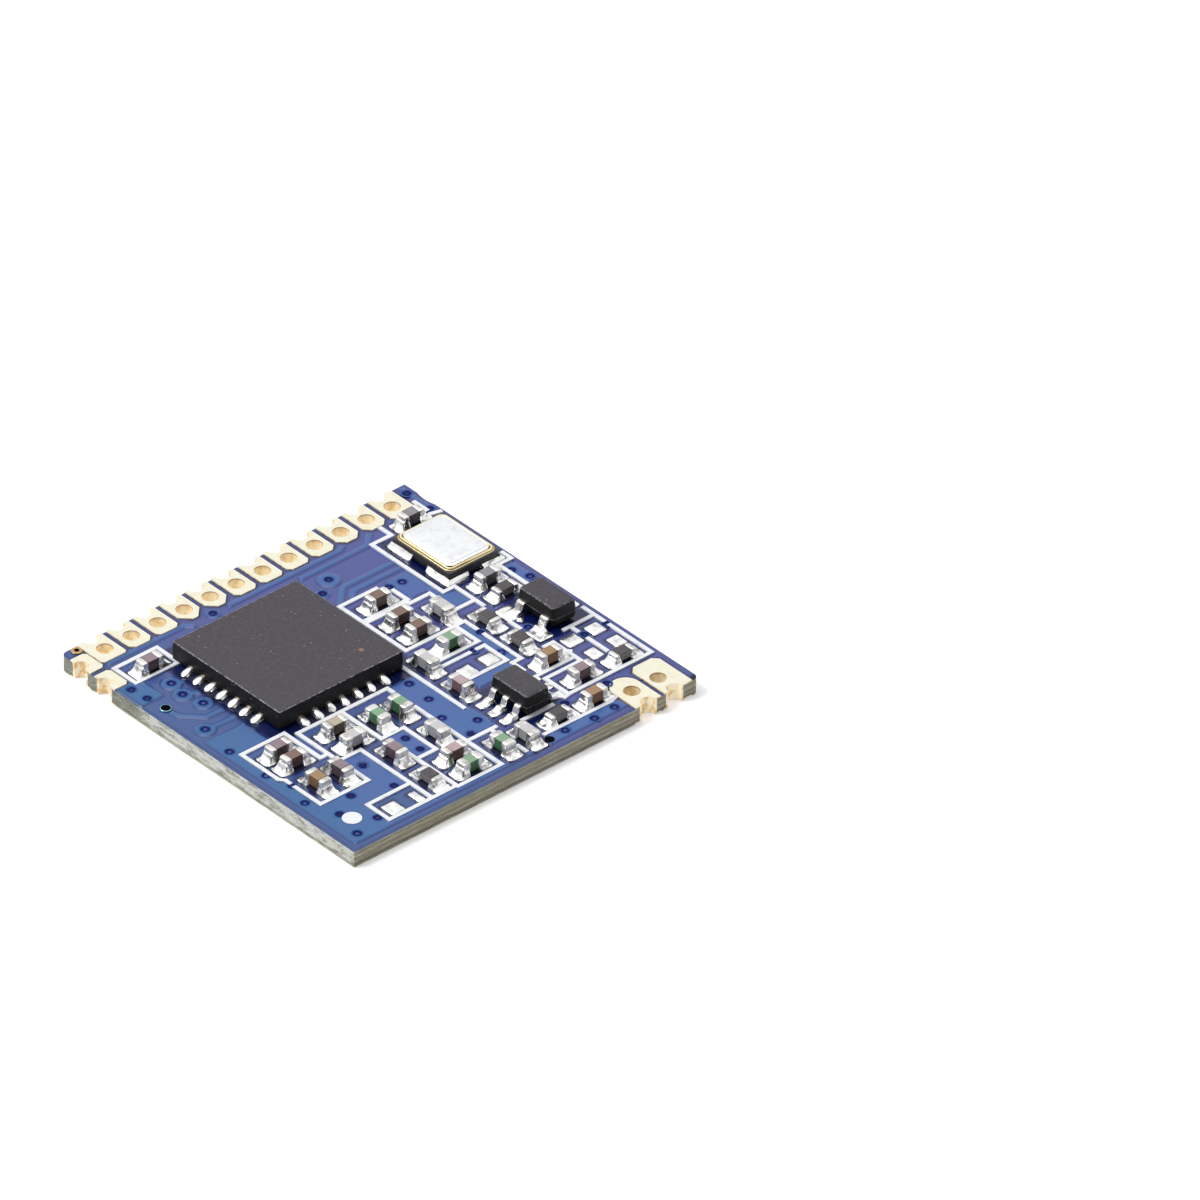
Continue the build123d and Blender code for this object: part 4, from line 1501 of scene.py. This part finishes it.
@dataclass
class Board:
    """The laminate, the contacts, the bare lands, the underside and the legend."""

    dome: float = 0.055
    dome_foot: float = 0.012
    # The contacts' walls carry a faint painted glow.
    plating: Finish = field(
        default_factory=lambda: Plating("gold_plating", glow=0.24, front_share=1.0, back_share=0.5)
    )

    def build(self) -> None:
        """Dress the board's own nodes, and tin the bare lands."""
        dress("board_laminate", Laminate("sawn_laminate"))
        for node in ("row_contacts", "side_contacts", "radio_output_contacts"):
            dress(node, self.plating)
        dress("bottom_coating", Underside("underside_coating"))
        dress("legend", Ink("white_ink"))
        self.tin_lands()

    def tin_lands(self) -> None:
        """Make the low dome of solder on each bare land."""
        shape = Shape()
        for low, high in solids_of("bare_lands"):

            def height(x: Grid, y: Grid, low: Grid = low, high: Grid = high) -> Grid:
                """The height of the dome."""
                across = (2 * x - low[0] - high[0]) / (high[0] - low[0])
                along = (2 * y - low[1] - high[1]) / (high[1] - low[1])
                lip = np.sqrt(np.clip((1 - across**4) * (1 - along**4), 0, 1))
                tilt = 0.12 * np.sin(3 * low[0] + across) + 0.10 * np.cos(5 * low[1] - along)
                return Layers.land_top - self.dome_foot + self.dome * (1 + tilt) * lip

            shape.heap(low[:2], high[:2], Layers.laminate_top, height, Matrix.Identity(4), (20, 20))
        tin = BrightMetal("tinned_land", roughness=0.26, waves_mm=0.012)
        shape.finish("tinned_lands", tin, "tinned", ("bare_lands",), 60)


# Chip parts


class ChipKind(Enum):
    """The three kinds of two-terminal chip part, each with its cap length and full height."""

    CAPACITOR = ("capacitor", 0.26, 0.48)
    RESISTOR = ("resistor", 0.22, 0.33)
    INDUCTOR = ("inductor", 0.33, 0.48)

    @property
    def caps_node(self) -> str:
        """The CAD node that holds the caps of this kind."""
        return f"{self.value[0]}_end_caps"

    @property
    def wrap(self) -> float:
        """How far a cap wraps along the part."""
        return self.value[1]

    @property
    def height(self) -> float:
        """The part's height over its caps."""
        return self.value[2]


@dataclass
class ChipParts:
    """Every capacitor, resistor and inductor: its body and its two caps."""

    length: float = 1.00
    width: float = 0.50
    cap_radius: float = 0.075
    body_bevel: float = 0.02
    overcoat_bevel: float = 0.008
    # The overcoat's top and side colours are painted light and shade.
    overcoat: Finish = field(
        default_factory=lambda: Moulding("overcoat", srgb(76, 72, 76), srgb(30, 28, 32))
    )
    cap_finish: Finish = field(
        default_factory=lambda: BrightMetal(
            "tinned_cap", srgb(222, 220, 216), srgb(150, 147, 145), roughness=0.34, waves_mm=0.015
        )
    )
    # Each slot's top colour and side colour; the darker side is painted shade.
    colours: dict[str, tuple[Triple, Triple]] = field(
        default_factory=lambda: {
            "capacitor_mauve": (srgb(144, 126, 134), srgb(72, 50, 58)),
            "capacitor_brown": (srgb(124, 98, 86), srgb(72, 46, 32)),
            "capacitor_tan": (srgb(160, 126, 92), srgb(122, 84, 42)),
            "capacitor_beige": (srgb(188, 178, 154), srgb(60, 46, 30)),
            "capacitor_grey": (srgb(140, 138, 142), srgb(62, 60, 66)),
            "inductor_green": (srgb(132, 168, 136), srgb(24, 90, 26)),
            "inductor_grey": (srgb(204, 201, 203), srgb(168, 164, 164)),
            "resistor_body": (srgb(200, 198, 192), srgb(110, 106, 102)),
        }
    )
    pinker: tuple[str, ...] = ("capacitor_c07", "capacitor_c16")
    # Top and side colours of the pinker ones; the darker side is painted shade.
    pink: tuple[Triple, Triple] = (srgb(186, 164, 168), srgb(104, 68, 66))

    def build(self) -> None:
        """Dress the bodies and make the caps."""
        for node in chip_nodes():
            slot = slot_of(node)
            finish = Ceramic(f"ceramic_{slot}", *self.colours[slot])
            if node in self.pinker:
                finish = Ceramic("ceramic_pink", *self.pink)
            dress(node, finish, self.body_bevel)
        dress("resistor_overcoats", self.overcoat, self.overcoat_bevel)
        for kind in ChipKind:
            self.build_caps(kind)

    def build_caps(self, kind: ChipKind) -> None:
        """Make the rounded metal caps of one kind of part."""
        shape = Shape()
        bottom = node_box(kind.caps_node)[0].z
        chips = [node for node in chip_nodes() if node.startswith(kind.value[0])]
        low = (self.length / 2 - kind.wrap, -self.width / 2, bottom)
        high = (self.length / 2, self.width / 2, bottom + kind.height)
        for node in chips:
            for half_turn in (False, True):
                turn = ChipPlace(node).turn(half_turn)
                shape.block(low, high, self.cap_radius, turn, 4)
        name = f"{kind.value[0]}_caps_round"
        shape.finish(name, self.cap_finish, "tinned", (kind.caps_node,), 50)


@dataclass
class Solder:
    """The solder of every joint, smooth and a little uneven.

    A chip's joint is measured along the chip from its middle, and its rise is a share of the
    chip's height. The other rises are heights.
    """

    toe: float = 0.83
    heel: float = 0.22
    half_width: float = 0.35
    cap_end: float = 0.50
    cap_half_width: float = 0.25
    flank: float = 0.085
    bed: float = 0.03
    chip_rise: Point = (0.38, 0.66)
    chip_bulge: Point = (2.2, 3.4)
    chip_reach: Point = (0.82, 1.05)
    chip_waves: float = 0.012
    bead_half_width: float = 0.185
    bead_length: float = 0.44
    bead_rise: Point = (0.11, 0.16)
    bead_crest: float = 0.075
    bead_skew: float = 0.03
    crystal_land_least: float = 0.9
    crystal_land_reach: Point = (1.3, 1.7)
    crystal_rise: Point = (0.16, 0.24)
    crystal_slope: float = 0.2
    lead_rise: Point = (0.10, 0.15)
    lead_slope: float = 0.2
    # The solder shows painted dark reflections in patches.
    finish: Finish = field(
        default_factory=lambda: BrightMetal(
            "bright_solder", dark_reflection_share=0.5, roughness=0.24, waves_mm=0.024
        )
    )

    def build(self) -> None:
        """Make every joint."""
        chance = np.random.default_rng(SEED)
        shape = Shape()
        for node in chip_nodes():
            place = ChipPlace(node)
            for half_turn in (False, True):
                self.add_chip_joint(shape, place, half_turn, chance)
        self.add_beads(shape, chance)
        self.add_crystal_joints(shape, chance)
        self.add_lead_joints(shape, chance)
        shape.finish("solder_fillets", self.finish, "solder", ("solder_joints",), 60)

    def add_chip_joint(
        self, shape: Shape, place: ChipPlace, half_turn: bool, chance: np.random.Generator
    ) -> None:
        """Add the joint at one end of a chip part.

        Args:
            shape: The shape that it goes into.
            place: The chip's place.
            half_turn: Whether it is the other end.
            chance: The source of its unevenness.
        """
        full = place.top - Layers.land_top
        rise = full * chance.uniform(*self.chip_rise)
        lean, bulge = chance.uniform(-1, 1), chance.uniform(*self.chip_bulge)
        phases = chance.uniform(0, math.tau, 4)
        reach_share = chance.uniform(*self.chip_reach)
        base = Layers.land_top + self.bed

        def height(x: Grid, y: Grid) -> Grid:
            """The height of the solder's surface."""
            out = np.maximum(x - self.cap_end, 0)
            side = np.maximum(np.abs(y) - self.cap_half_width, 0)
            reach = (self.toe - self.cap_end) * reach_share * (1 + 0.2 * lean * y / self.half_width)
            slope = np.clip(1 - np.hypot(out / reach, side / self.flank), 0, 1) ** bulge
            inside = np.clip((x - self.heel) / 0.05, 0, 1)
            edge = np.minimum(self.toe - x, self.half_width - np.abs(y))
            rim = np.sqrt(np.clip(edge / 0.07, 0, 1))
            waves = np.sin(9 * x + phases[0]) * np.sin(11 * y + phases[1])
            waves += 0.5 * np.sin(15 * x + phases[2]) * np.sin(17 * y + phases[3])
            uneven = self.chip_waves * waves * rim
            return base - self.bed * (1 - rim) + (rise * slope + uneven) * inside

        low, high = (self.heel, -self.half_width), (self.toe, self.half_width)
        turn = place.turn(half_turn)
        shape.heap(low, high, Layers.laminate_top, height, turn, (18, 18), 0.14)

    def add_beads(self, shape: Shape, chance: np.random.Generator) -> None:
        """Add the bead at each terminal of the transceiver."""
        low, high = node_box("transceiver_body")
        middle = (low + high) / 2
        for start, end in solids_of("transceiver_terminals"):
            centre = (start + end) / 2 - np.array(middle)
            along_x = abs(centre[0]) > abs(centre[1])
            angle = math.atan2(0, centre[0]) if along_x else math.atan2(centre[1], 0)
            side = (high.x - low.x) / 2
            offset = centre[1] if along_x else centre[0]
            foot = Vector((math.cos(angle) * side, math.sin(angle) * side, 0))
            foot += Vector((0, offset, 0)) if along_x else Vector((offset, 0, 0))
            foot += Vector((middle.x, middle.y, 0))
            turn = Matrix.Translation(foot) @ Matrix.Rotation(angle, 4, "Z")
            self.add_bead(shape, turn, chance)

    def add_bead(self, shape: Shape, turn: Matrix, chance: np.random.Generator) -> None:
        """Add one bead, which runs down from the body to a round toe.

        Args:
            shape: The shape that it goes into.
            turn: Its place, with +X away from the body.
            chance: The source of its unevenness.
        """
        rise = chance.uniform(*self.bead_rise)
        length = self.bead_length * chance.uniform(0.92, 1.06)
        half = self.bead_half_width * chance.uniform(0.92, 1.08)
        skew = chance.uniform(-self.bead_skew, self.bead_skew)
        rows = []
        for u in np.linspace(0, 1, 12):
            width = half * math.sqrt(max(1 - max(0.0, (u - 0.45) / 0.55) ** 2.6, 0.0004))
            crest = rise * (1 - u**1.7) + self.bead_crest * math.sqrt(max(1 - u, 0))
            row = []
            for v in np.linspace(-1, 1, 13):
                z = Layers.land_top - 0.02 + crest * max(1 - abs(v) ** 3.2, 0) ** 0.55
                row.append((u * length - 0.01, v * width + skew * u, z))
            rows.append(shape.ring(row, turn))
        for first, second in zip(rows, rows[1:]):
            shape.bridge(first, second, closed=False)
        left, right = [row[0] for row in rows], [row[-1] for row in rows]
        shape.mesh.faces.new(rows[0])
        shape.mesh.faces.new(left + rows[-1][1:-1] + right[::-1])

    def add_crystal_joints(self, shape: Shape, chance: np.random.Generator) -> None:
        """Add the solder that stands round the crystal's corners."""
        base_low, base_high = node_box("crystal_base")
        rect = (base_low.x, base_low.y, base_high.x, base_high.y)
        middle = (base_low + base_high) / 2
        for low, high in solids_of("solder_joints"):
            off = np.abs((low + high)[:2] / 2 - middle[:2])
            if np.any(off >= self.crystal_land_reach):
                continue
            if np.min(high[:2] - low[:2]) < self.crystal_land_least:
                continue
            rise = chance.uniform(*self.crystal_rise)
            phases = chance.uniform(0, math.tau, 2)

            def height(x: Grid, y: Grid, rise: float = rise, phases: Grid = phases) -> Grid:
                """The height of the solder's surface."""
                away = to_rect(x, y, rect)
                slope = np.clip(1 - np.maximum(away, 0) / self.crystal_slope, 0, 1) ** 1.4
                under = np.clip(1 + away / 0.03, 0, 1)
                waves = 0.012 * np.sin(7 * x + phases[0]) * np.sin(8 * y + phases[1])
                return Layers.land_top + 0.02 + (rise * slope + waves) * under

            shape.heap(
                low[:2], high[:2], Layers.laminate_top, height, Matrix.Identity(4), (30, 30), 0.16
            )

    def add_lead_joints(self, shape: Shape, chance: np.random.Generator) -> None:
        """Add the solder on the lands of the bent leads."""
        leads = solids_of("radio_switch_leads") + solids_of("regulator_leads")
        for low, high in solids_of("solder_joints"):
            for lead_low, lead_high in leads:
                meets = np.all(lead_low[:2] < high[:2]) and np.all(lead_high[:2] > low[:2])
                if meets and high[2] < lead_high[2]:
                    self.add_lead_joint(shape, low, high, (lead_low, lead_high), chance)
                    break

    def add_lead_joint(
        self,
        shape: Shape,
        low: Grid,
        high: Grid,
        lead: tuple[Grid, Grid],
        chance: np.random.Generator,
    ) -> None:
        """Add one lead's solder: a bed on its land that rises round its foot.

        Args:
            shape: The shape that it goes into.
            low: The land's lowest corner.
            high: Its highest corner.
            lead: The lead's lowest and highest corners.
            chance: The source of its unevenness.
        """
        foot = (lead[0][0], lead[0][1], lead[1][0], lead[1][1])
        rise = chance.uniform(*self.lead_rise)
        phases = chance.uniform(0, math.tau, 2)

        def height(x: Grid, y: Grid) -> Grid:
            """The height of the solder's surface."""
            away = np.maximum(to_rect(x, y, foot), 0)
            edge = np.minimum.reduce((x - low[0], high[0] - x, y - low[1], high[1] - y))
            lip = np.sqrt(np.clip(edge / 0.08, 0, 1))
            waves = 0.008 * np.sin(12 * x + phases[0]) * np.sin(12 * y + phases[1])
            slope = np.clip(1 - away / self.lead_slope, 0, 1) ** 1.8
            return Layers.land_top + (0.03 + waves + rise * slope) * lip

        shape.heap(
            low[:2], high[:2], Layers.laminate_top, height, Matrix.Identity(4), (20, 20), 0.12
        )


# Packages


@dataclass
class Transceiver:
    """The transceiver in its flat leadless package."""

    edge: float = 0.03
    side_inset: float = 0.004
    body_corner: float = 0.05
    dot_place: Point = (7.74, 8.49)
    dot_radius: float = 0.10
    dot_finish: Finish = field(
        default_factory=lambda: Ceramic(
            "first_terminal_mark", srgb(132, 106, 84), srgb(96, 78, 66), 0.6
        )
    )
    terminal_finish: Finish = field(
        default_factory=lambda: BrightMetal(
            "terminal_ends", srgb(112, 96, 80), srgb(70, 58, 48), roughness=0.35
        )
    )

    def build(self) -> None:
        """Make the body and its dot, and dress the terminals."""
        low, high = node_box("transceiver_body")
        size = high - low
        middle = (low + high) / 2
        inset, edge = self.side_inset, self.edge
        # The third value is the share of the moulding's pale edge: wear and a painted highlight.
        profile = (
            (inset, low.z, 0.0),
            (inset, high.z - edge, 0.0),
            (inset + edge * 0.15, high.z - edge * 0.5, 0.8),
            (inset + edge * 0.5, high.z - edge * 0.15, 1.0),
            (inset + edge, high.z, 0.3),
            (inset + 2.2 * edge, high.z, 0.0),
            (inset + 8 * edge, high.z, 0.0),
        )
        shape = Shape("edge")
        Stack(size.x, size.y, self.body_corner, 4).add(shape, middle, profile, ("edge",))
        black = Moulding("chip_moulding")
        shape.finish("transceiver_moulding", black, "mould", ("transceiver_body",), 50)
        self.add_dot(high.z)
        dress("transceiver_terminals", self.terminal_finish)
        dress("transceiver_ground_pad", self.terminal_finish)

    def add_dot(self, top: float) -> None:
        """Make the small mark by the first terminal."""
        shape = Shape()
        radius = self.dot_radius
        profile = ((radius, top + 0.0005), (radius * 0.8, top + 0.003), (radius * 0.3, top + 0.003))
        shape.lathe(on_layout(*self.dot_place), profile, 18)
        shape.finish("first_terminal_mark", self.dot_finish, "mould")


@dataclass
class Crystal:
    """The crystal: ceramic base, double gold ring and metal lid."""

    corner_cut: float = 0.14
    ring_radius: float = 0.30
    base_finish: Finish = field(
        default_factory=lambda: Ceramic("dark_ceramic", srgb(58, 53, 54), srgb(48, 43, 46), 0.5)
    )
    lid_finish: Finish = field(
        default_factory=lambda: BrightMetal(
            "lid_metal", srgb(234, 235, 237), srgb(220, 220, 223), roughness=0.36, waves_mm=0.005
        )
    )

    def build(self) -> None:
        """Make the base, the ring and the lid, and dress the pads."""
        self.add_base()
        self.add_ring()
        self.add_lid()
        dress("crystal_pads", Plating("pad_gold"))

    def add_base(self) -> None:
        """Make the ceramic base, its top edge a little worn."""
        low, high = node_box("crystal_base")
        size, middle = high - low, (low + high) / 2
        profile = (
            (0.006, low.z),
            (0.0, low.z + 0.012),
            (0.0, high.z - 0.02),
            (0.008, high.z - 0.004),
            (0.02, high.z),
        )
        shape = Shape()
        Stack(size.x, size.y, self.corner_cut, 3).add(shape, middle, profile)
        shape.finish("crystal_ceramic", self.base_finish, "crystal_ceramic", ("crystal_base",))

    def add_ring(self) -> None:
        """Make the ring: two bright bands with a dark groove between them."""
        low, high = node_box("crystal_seal_ring")
        size, middle = high - low, (low + high) / 2
        tall = high.z - low.z
        profile = (
            (0.000, low.z, 0.0),
            (0.000, low.z + 0.30 * tall, 0.0),
            (0.012, low.z + 0.42 * tall, 0.0),
            (0.030, low.z + 0.45 * tall, 0.7),
            (0.046, low.z + 0.42 * tall, 1.0),
            (0.060, low.z + 0.45 * tall, 0.9),
            (0.066, low.z + 0.62 * tall, 0.0),
            (0.074, low.z + 0.90 * tall, 0.0),
            (0.090, high.z, 0.0),
            (0.125, high.z, 0.0),
            (0.140, high.z - 0.15 * tall, 0.6),
            (0.170, high.z - 0.20 * tall, 0.8),
        )
        shape = Shape("groove")
        plan = Stack(size.x, size.y, self.ring_radius, 8)
        plan.add(shape, middle, profile, ("groove",), caps=False)
        gold = SealGold("seal_gold")
        shape.finish("crystal_gold_ring", gold, "seal_gold", ("crystal_seal_ring",), 30)

    def add_lid(self) -> None:
        """Make the lid: a thin flange and a raised middle."""
        low, high = node_box("crystal_lid")
        size, middle = high - low, (low + high) / 2
        tall = high.z - low.z
        profile = (
            (0.010, low.z - 0.02),
            (0.004, low.z + 0.10 * tall),
            (0.008, low.z + 0.36 * tall),
            (0.020, low.z + 0.44 * tall),
            (0.055, low.z + 0.46 * tall),
            (0.066, low.z + 0.38 * tall),
            (0.078, low.z + 0.46 * tall),
            (0.130, low.z + 0.50 * tall),
            (0.150, low.z + 0.86 * tall),
            (0.166, low.z + 0.97 * tall),
            (0.190, high.z),
            (0.60, high.z),
        )
        shape = Shape()
        Stack(size.x, size.y, self.ring_radius, 8).add(shape, middle, profile)
        shape.finish("crystal_metal_lid", self.lid_finish, "lid_metal", ("crystal_lid",), 30)


@dataclass
class BentLeadPackage:
    """A small moulded package with bent leads."""

    name: str
    lead_thickness: float = 0.12
    lead_corner: float = 0.035
    foot_length: float = 0.20
    stub_length: float = 0.07
    draft_degrees: float = 9.0
    corner: float = 0.21
    top_round: float = 0.10
    flash: float = 0.006
    bends: int = 12
    lead_finish: Finish = field(
        default_factory=lambda: BrightMetal("tinned_lead", srgb(240, 238, 234), roughness=0.22)
    )

    def build(self) -> None:
        """Make the body and its leads."""
        body_low, body_high = node_box(f"{self.name}_body")
        leads = solids_of(f"{self.name}_leads")
        parting = leads[0][1][2] - self.lead_thickness / 2
        self.add_body(body_low, body_high, parting)
        shape = Shape()
        middle = (body_low + body_high) / 2
        for low, high in leads:
            self.add_lead(shape, low, high, middle, (body_high.x - body_low.x) / 2)
        name = f"{self.name}_bent_leads"
        shape.finish(name, self.lead_finish, "tinned", (f"{self.name}_leads",), 50)

    def add_body(self, low: Vector, high: Vector, parting: float) -> None:
        """Make the moulding, which slopes in above and below its parting line.

        Args:
            low: Its lowest corner.
            high: Its highest corner.
            parting: The height of the parting line.
        """
        draft = math.tan(math.radians(self.draft_degrees))
        size, middle = high - low, (low + high) / 2
        shoulder = high.z - self.top_round
        profile = [
            ((parting - low.z) * draft + 0.03, low.z, 0.0),
            ((parting - low.z) * draft, low.z + 0.03, 0.0),
            (0.004, parting - 0.012, 0.0),
            (-self.flash, parting - 0.004, 0.5),
            (-self.flash, parting + 0.004, 0.5),
            (0.006, parting + 0.012, 0.0),
        ]
        side = (shoulder - parting) * draft
        for k in range(6):
            angle = math.pi / 2 * k / 5
            inset = side + self.top_round * (1 - math.cos(angle))
            # The shoulder's pale edge: wear and a painted highlight.
            worn = 0.5 if k in (2, 3) else 0.0
            profile.append((inset, shoulder + self.top_round * math.sin(angle), worn))
        profile.append((side + 2.2 * self.top_round, high.z, 0.0))
        shape = Shape("edge")
        Stack(size.x, size.y, self.corner).add(shape, middle, profile, ("edge",))
        black = Moulding("package_moulding")
        shape.finish(f"{self.name}_moulding", black, "mould", (f"{self.name}_body",), 35)

    def add_lead(self, shape: Shape, low: Grid, high: Grid, middle: Vector, side: float) -> None:
        """Add one lead: out of the body, down in a smooth bend and out to a flat foot.

        Args:
            shape: The shape that it goes into.
            low: The lead's lowest corner.
            high: Its highest corner.
            middle: The middle of the body.
            side: How far the body's side stands from that.
        """
        outward = 1 if (low[0] + high[0]) / 2 > middle.x else -1
        tip = max(abs(low[0] - middle.x), abs(high[0] - middle.x))
        half = self.lead_thickness / 2
        top, foot = high[2] - half, low[2] + half
        start, end = side + self.stub_length, tip - self.foot_length
        path = [(side - 0.08, top), (side + 0.02, top)]
        for k in range(self.bends + 1):
            share = k / self.bends
            eased = share * share * (3 - 2 * share)
            path.append((start + (end - start) * share, top + (foot - top) * eased))
        path += [(tip - 0.12, foot), (tip - 0.03, foot), (tip, foot)]
        width = high[1] - low[1]
        across = (low[1] + high[1]) / 2
        rings = []
        for k, (x, z) in enumerate(path):
            before, after = path[max(k - 1, 0)], path[min(k + 1, len(path) - 1)]
            run = Vector((after[0] - before[0], 0, after[1] - before[1])).normalized()
            normal = Vector((-run.z, 0, run.x))
            narrow = 0.85 if k == len(path) - 1 else 1.0
            thickness = self.lead_thickness * narrow
            ring = []
            for v, w in rounded_outline(width * narrow, thickness, self.lead_corner, 3):
                place = Vector((x, v, z)) + normal * w
                ring.append((middle.x + outward * place.x, across + place.y, place.z))
            rings.append(shape.ring(ring))
        shape.loft(rings)


# Studio


@dataclass
class ProductCamera:
    """A long lens at the photograph's angle, framed on the module.

    The shift is how far to the right of its axis and above it the aim lies.
    """

    frame_pixels: float = 1200.0
    focal_pixels: float = 17374.24
    azimuth: float = -42.1797
    elevation: float = 35.0438
    roll: float = 0.7908
    distance: float = 635.3362
    aim: Triple = (8.0, 8.0, 0.0)
    shift: Point = (-8.2108, -2.5645)
    sensor_mm: float = 36.0
    near_metres: float = 0.01
    far_metres: float = 10.0

    def build(self) -> None:
        """Make the camera and use it."""
        turn, tilt = math.radians(self.azimuth), math.radians(self.elevation)
        twist = math.radians(self.roll)
        right = Vector((math.cos(turn), math.sin(turn), 0))
        level = Vector((math.sin(turn), -math.cos(turn), 0))
        back = level * math.cos(tilt) + Vector((0, 0, math.sin(tilt)))
        up = back.cross(right)
        side = math.cos(twist) * right + math.sin(twist) * up
        above = math.cos(twist) * up - math.sin(twist) * right
        aim = on_layout(self.aim[0], self.aim[1], Layers.coating_top)
        place = aim - self.shift[0] * side - self.shift[1] * above + self.distance * back
        lens = bpy.data.cameras.new("product_camera")
        lens.sensor_width = self.sensor_mm
        lens.lens = self.focal_pixels / self.frame_pixels * self.sensor_mm
        lens.clip_start, lens.clip_end = self.near_metres, self.far_metres
        camera = bpy.data.objects.new("product_camera", lens)
        basis = Matrix((side, above, back)).transposed().to_4x4()
        camera.matrix_world = Matrix.Translation(place * MM) @ basis
        bpy.context.scene.collection.objects.link(camera)
        bpy.context.scene.camera = camera


@dataclass(frozen=True)
class Softbox:
    """A square lamp that looks at the module. Its place and size are in metres."""

    name: str
    place: Triple
    size: float
    power: float

    def build(self) -> None:
        """Make the lamp."""
        lamp = bpy.data.lights.new(self.name, "AREA")
        lamp.shape = "SQUARE"
        lamp.size = self.size
        lamp.energy = self.power
        holder = bpy.data.objects.new(self.name, lamp)
        holder.location = self.place
        holder.rotation_euler = (-Vector(self.place)).to_track_quat("-Z", "Y").to_euler()
        bpy.context.scene.collection.objects.link(holder)


@dataclass
class Studio:
    """A pale floor, a white room that darkens low in front, and soft lamps, in metres."""

    floor_size: float = 3.0
    floor_colour: Triple = srgb(236, 236, 238)
    floor_glow: float = 0.30
    room_level: float = 0.42
    room_bright_way: Triple = (0.37, 0.41, 0.83)
    room_fade: Point = (-0.15, 0.35)
    room_dark: Triple = srgb(72, 74, 84)
    lamps: tuple[Softbox, ...] = (
        Softbox("key_lamp", (-0.26, 0.20, 0.44), 0.24, 1.9),
        Softbox("top_lamp", (0.06, 0.10, 0.50), 0.30, 0.65),
    )

    def build(self) -> None:
        """Make the floor, the room and the lamps."""
        self.build_floor()
        self.build_room()
        for lamp in self.lamps:
            lamp.build()
        bpy.context.scene.view_settings.view_transform = "Standard"

    @staticmethod
    def seen_share(graph: Graph) -> Signal:
        """1 for rays that show the room itself, straight, mirrored or through glass."""
        path = graph.node("ShaderNodeLightPath")
        shares = ("Is Camera Ray", "Is Glossy Ray", "Is Transmission Ray")
        camera, glossy, through = (Signal(graph, path.outputs[name]) for name in shares)
        return camera | glossy | through

    def build_floor(self) -> None:
        """Make the floor, which is white to the camera but keeps the module's shadow."""
        half = self.floor_size / 2
        mesh = bpy.data.meshes.new("floor")
        corners = [(-half, -half, 0), (half, -half, 0), (half, half, 0), (-half, half, 0)]
        mesh.from_pydata(corners, [], [(0, 1, 2, 3)])
        floor = bpy.data.objects.new("floor", mesh)
        bpy.context.scene.collection.objects.link(floor)
        surface = Surface("pale_floor")
        surface.wear(Base_Color=self.floor_colour, Roughness=0.9)
        glow = surface.mix(self.seen_share(surface), BLACK, WHITE)
        surface.wear(Emission_Color=glow, Emission_Strength=self.floor_glow)
        mesh.materials.append(surface.material)

    def build_room(self) -> None:
        """Make the room: white to the camera, and dimmer where it only lights the module."""
        world = bpy.data.worlds.new("studio")
        bpy.context.scene.world = world
        world.use_nodes = True
        graph = Graph(world.node_tree)
        way = graph.node("ShaderNodeTexCoord").outputs["Generated"]
        inputs = {0: way, 1: self.room_bright_way}
        toward = graph.node("ShaderNodeVectorMath", {"operation": "DOT_PRODUCT"}, inputs)
        bright = Signal(graph, toward.outputs["Value"]).ramp(*self.room_fade)
        path = graph.node("ShaderNodeLightPath")
        camera = Signal(graph, path.outputs["Is Camera Ray"])
        colour = graph.mix(bright | camera, self.room_dark, WHITE)
        level = self.seen_share(graph) * (1 - self.room_level) + self.room_level
        back = graph.node("ShaderNodeBackground", inputs={"Color": colour, "Strength": level})
        graph.node("ShaderNodeOutputWorld", inputs={0: back.outputs[0]})


def main() -> None:
    """Build the scene, one sub-assembly after another."""
    logging.basicConfig(level=logging.INFO, format="%(name)s %(message)s")
    ProductCamera().build()
    Studio().build()
    Board().build()
    CoatedFace().build()
    OpenHoles().build()
    HoleLinings().build()
    ChipParts().build()
    Solder().build()
    Transceiver().build()
    Crystal().build()
    BentLeadPackage("radio_switch").build()
    BentLeadPackage("regulator").build()


if __name__ == "__main__":
    main()
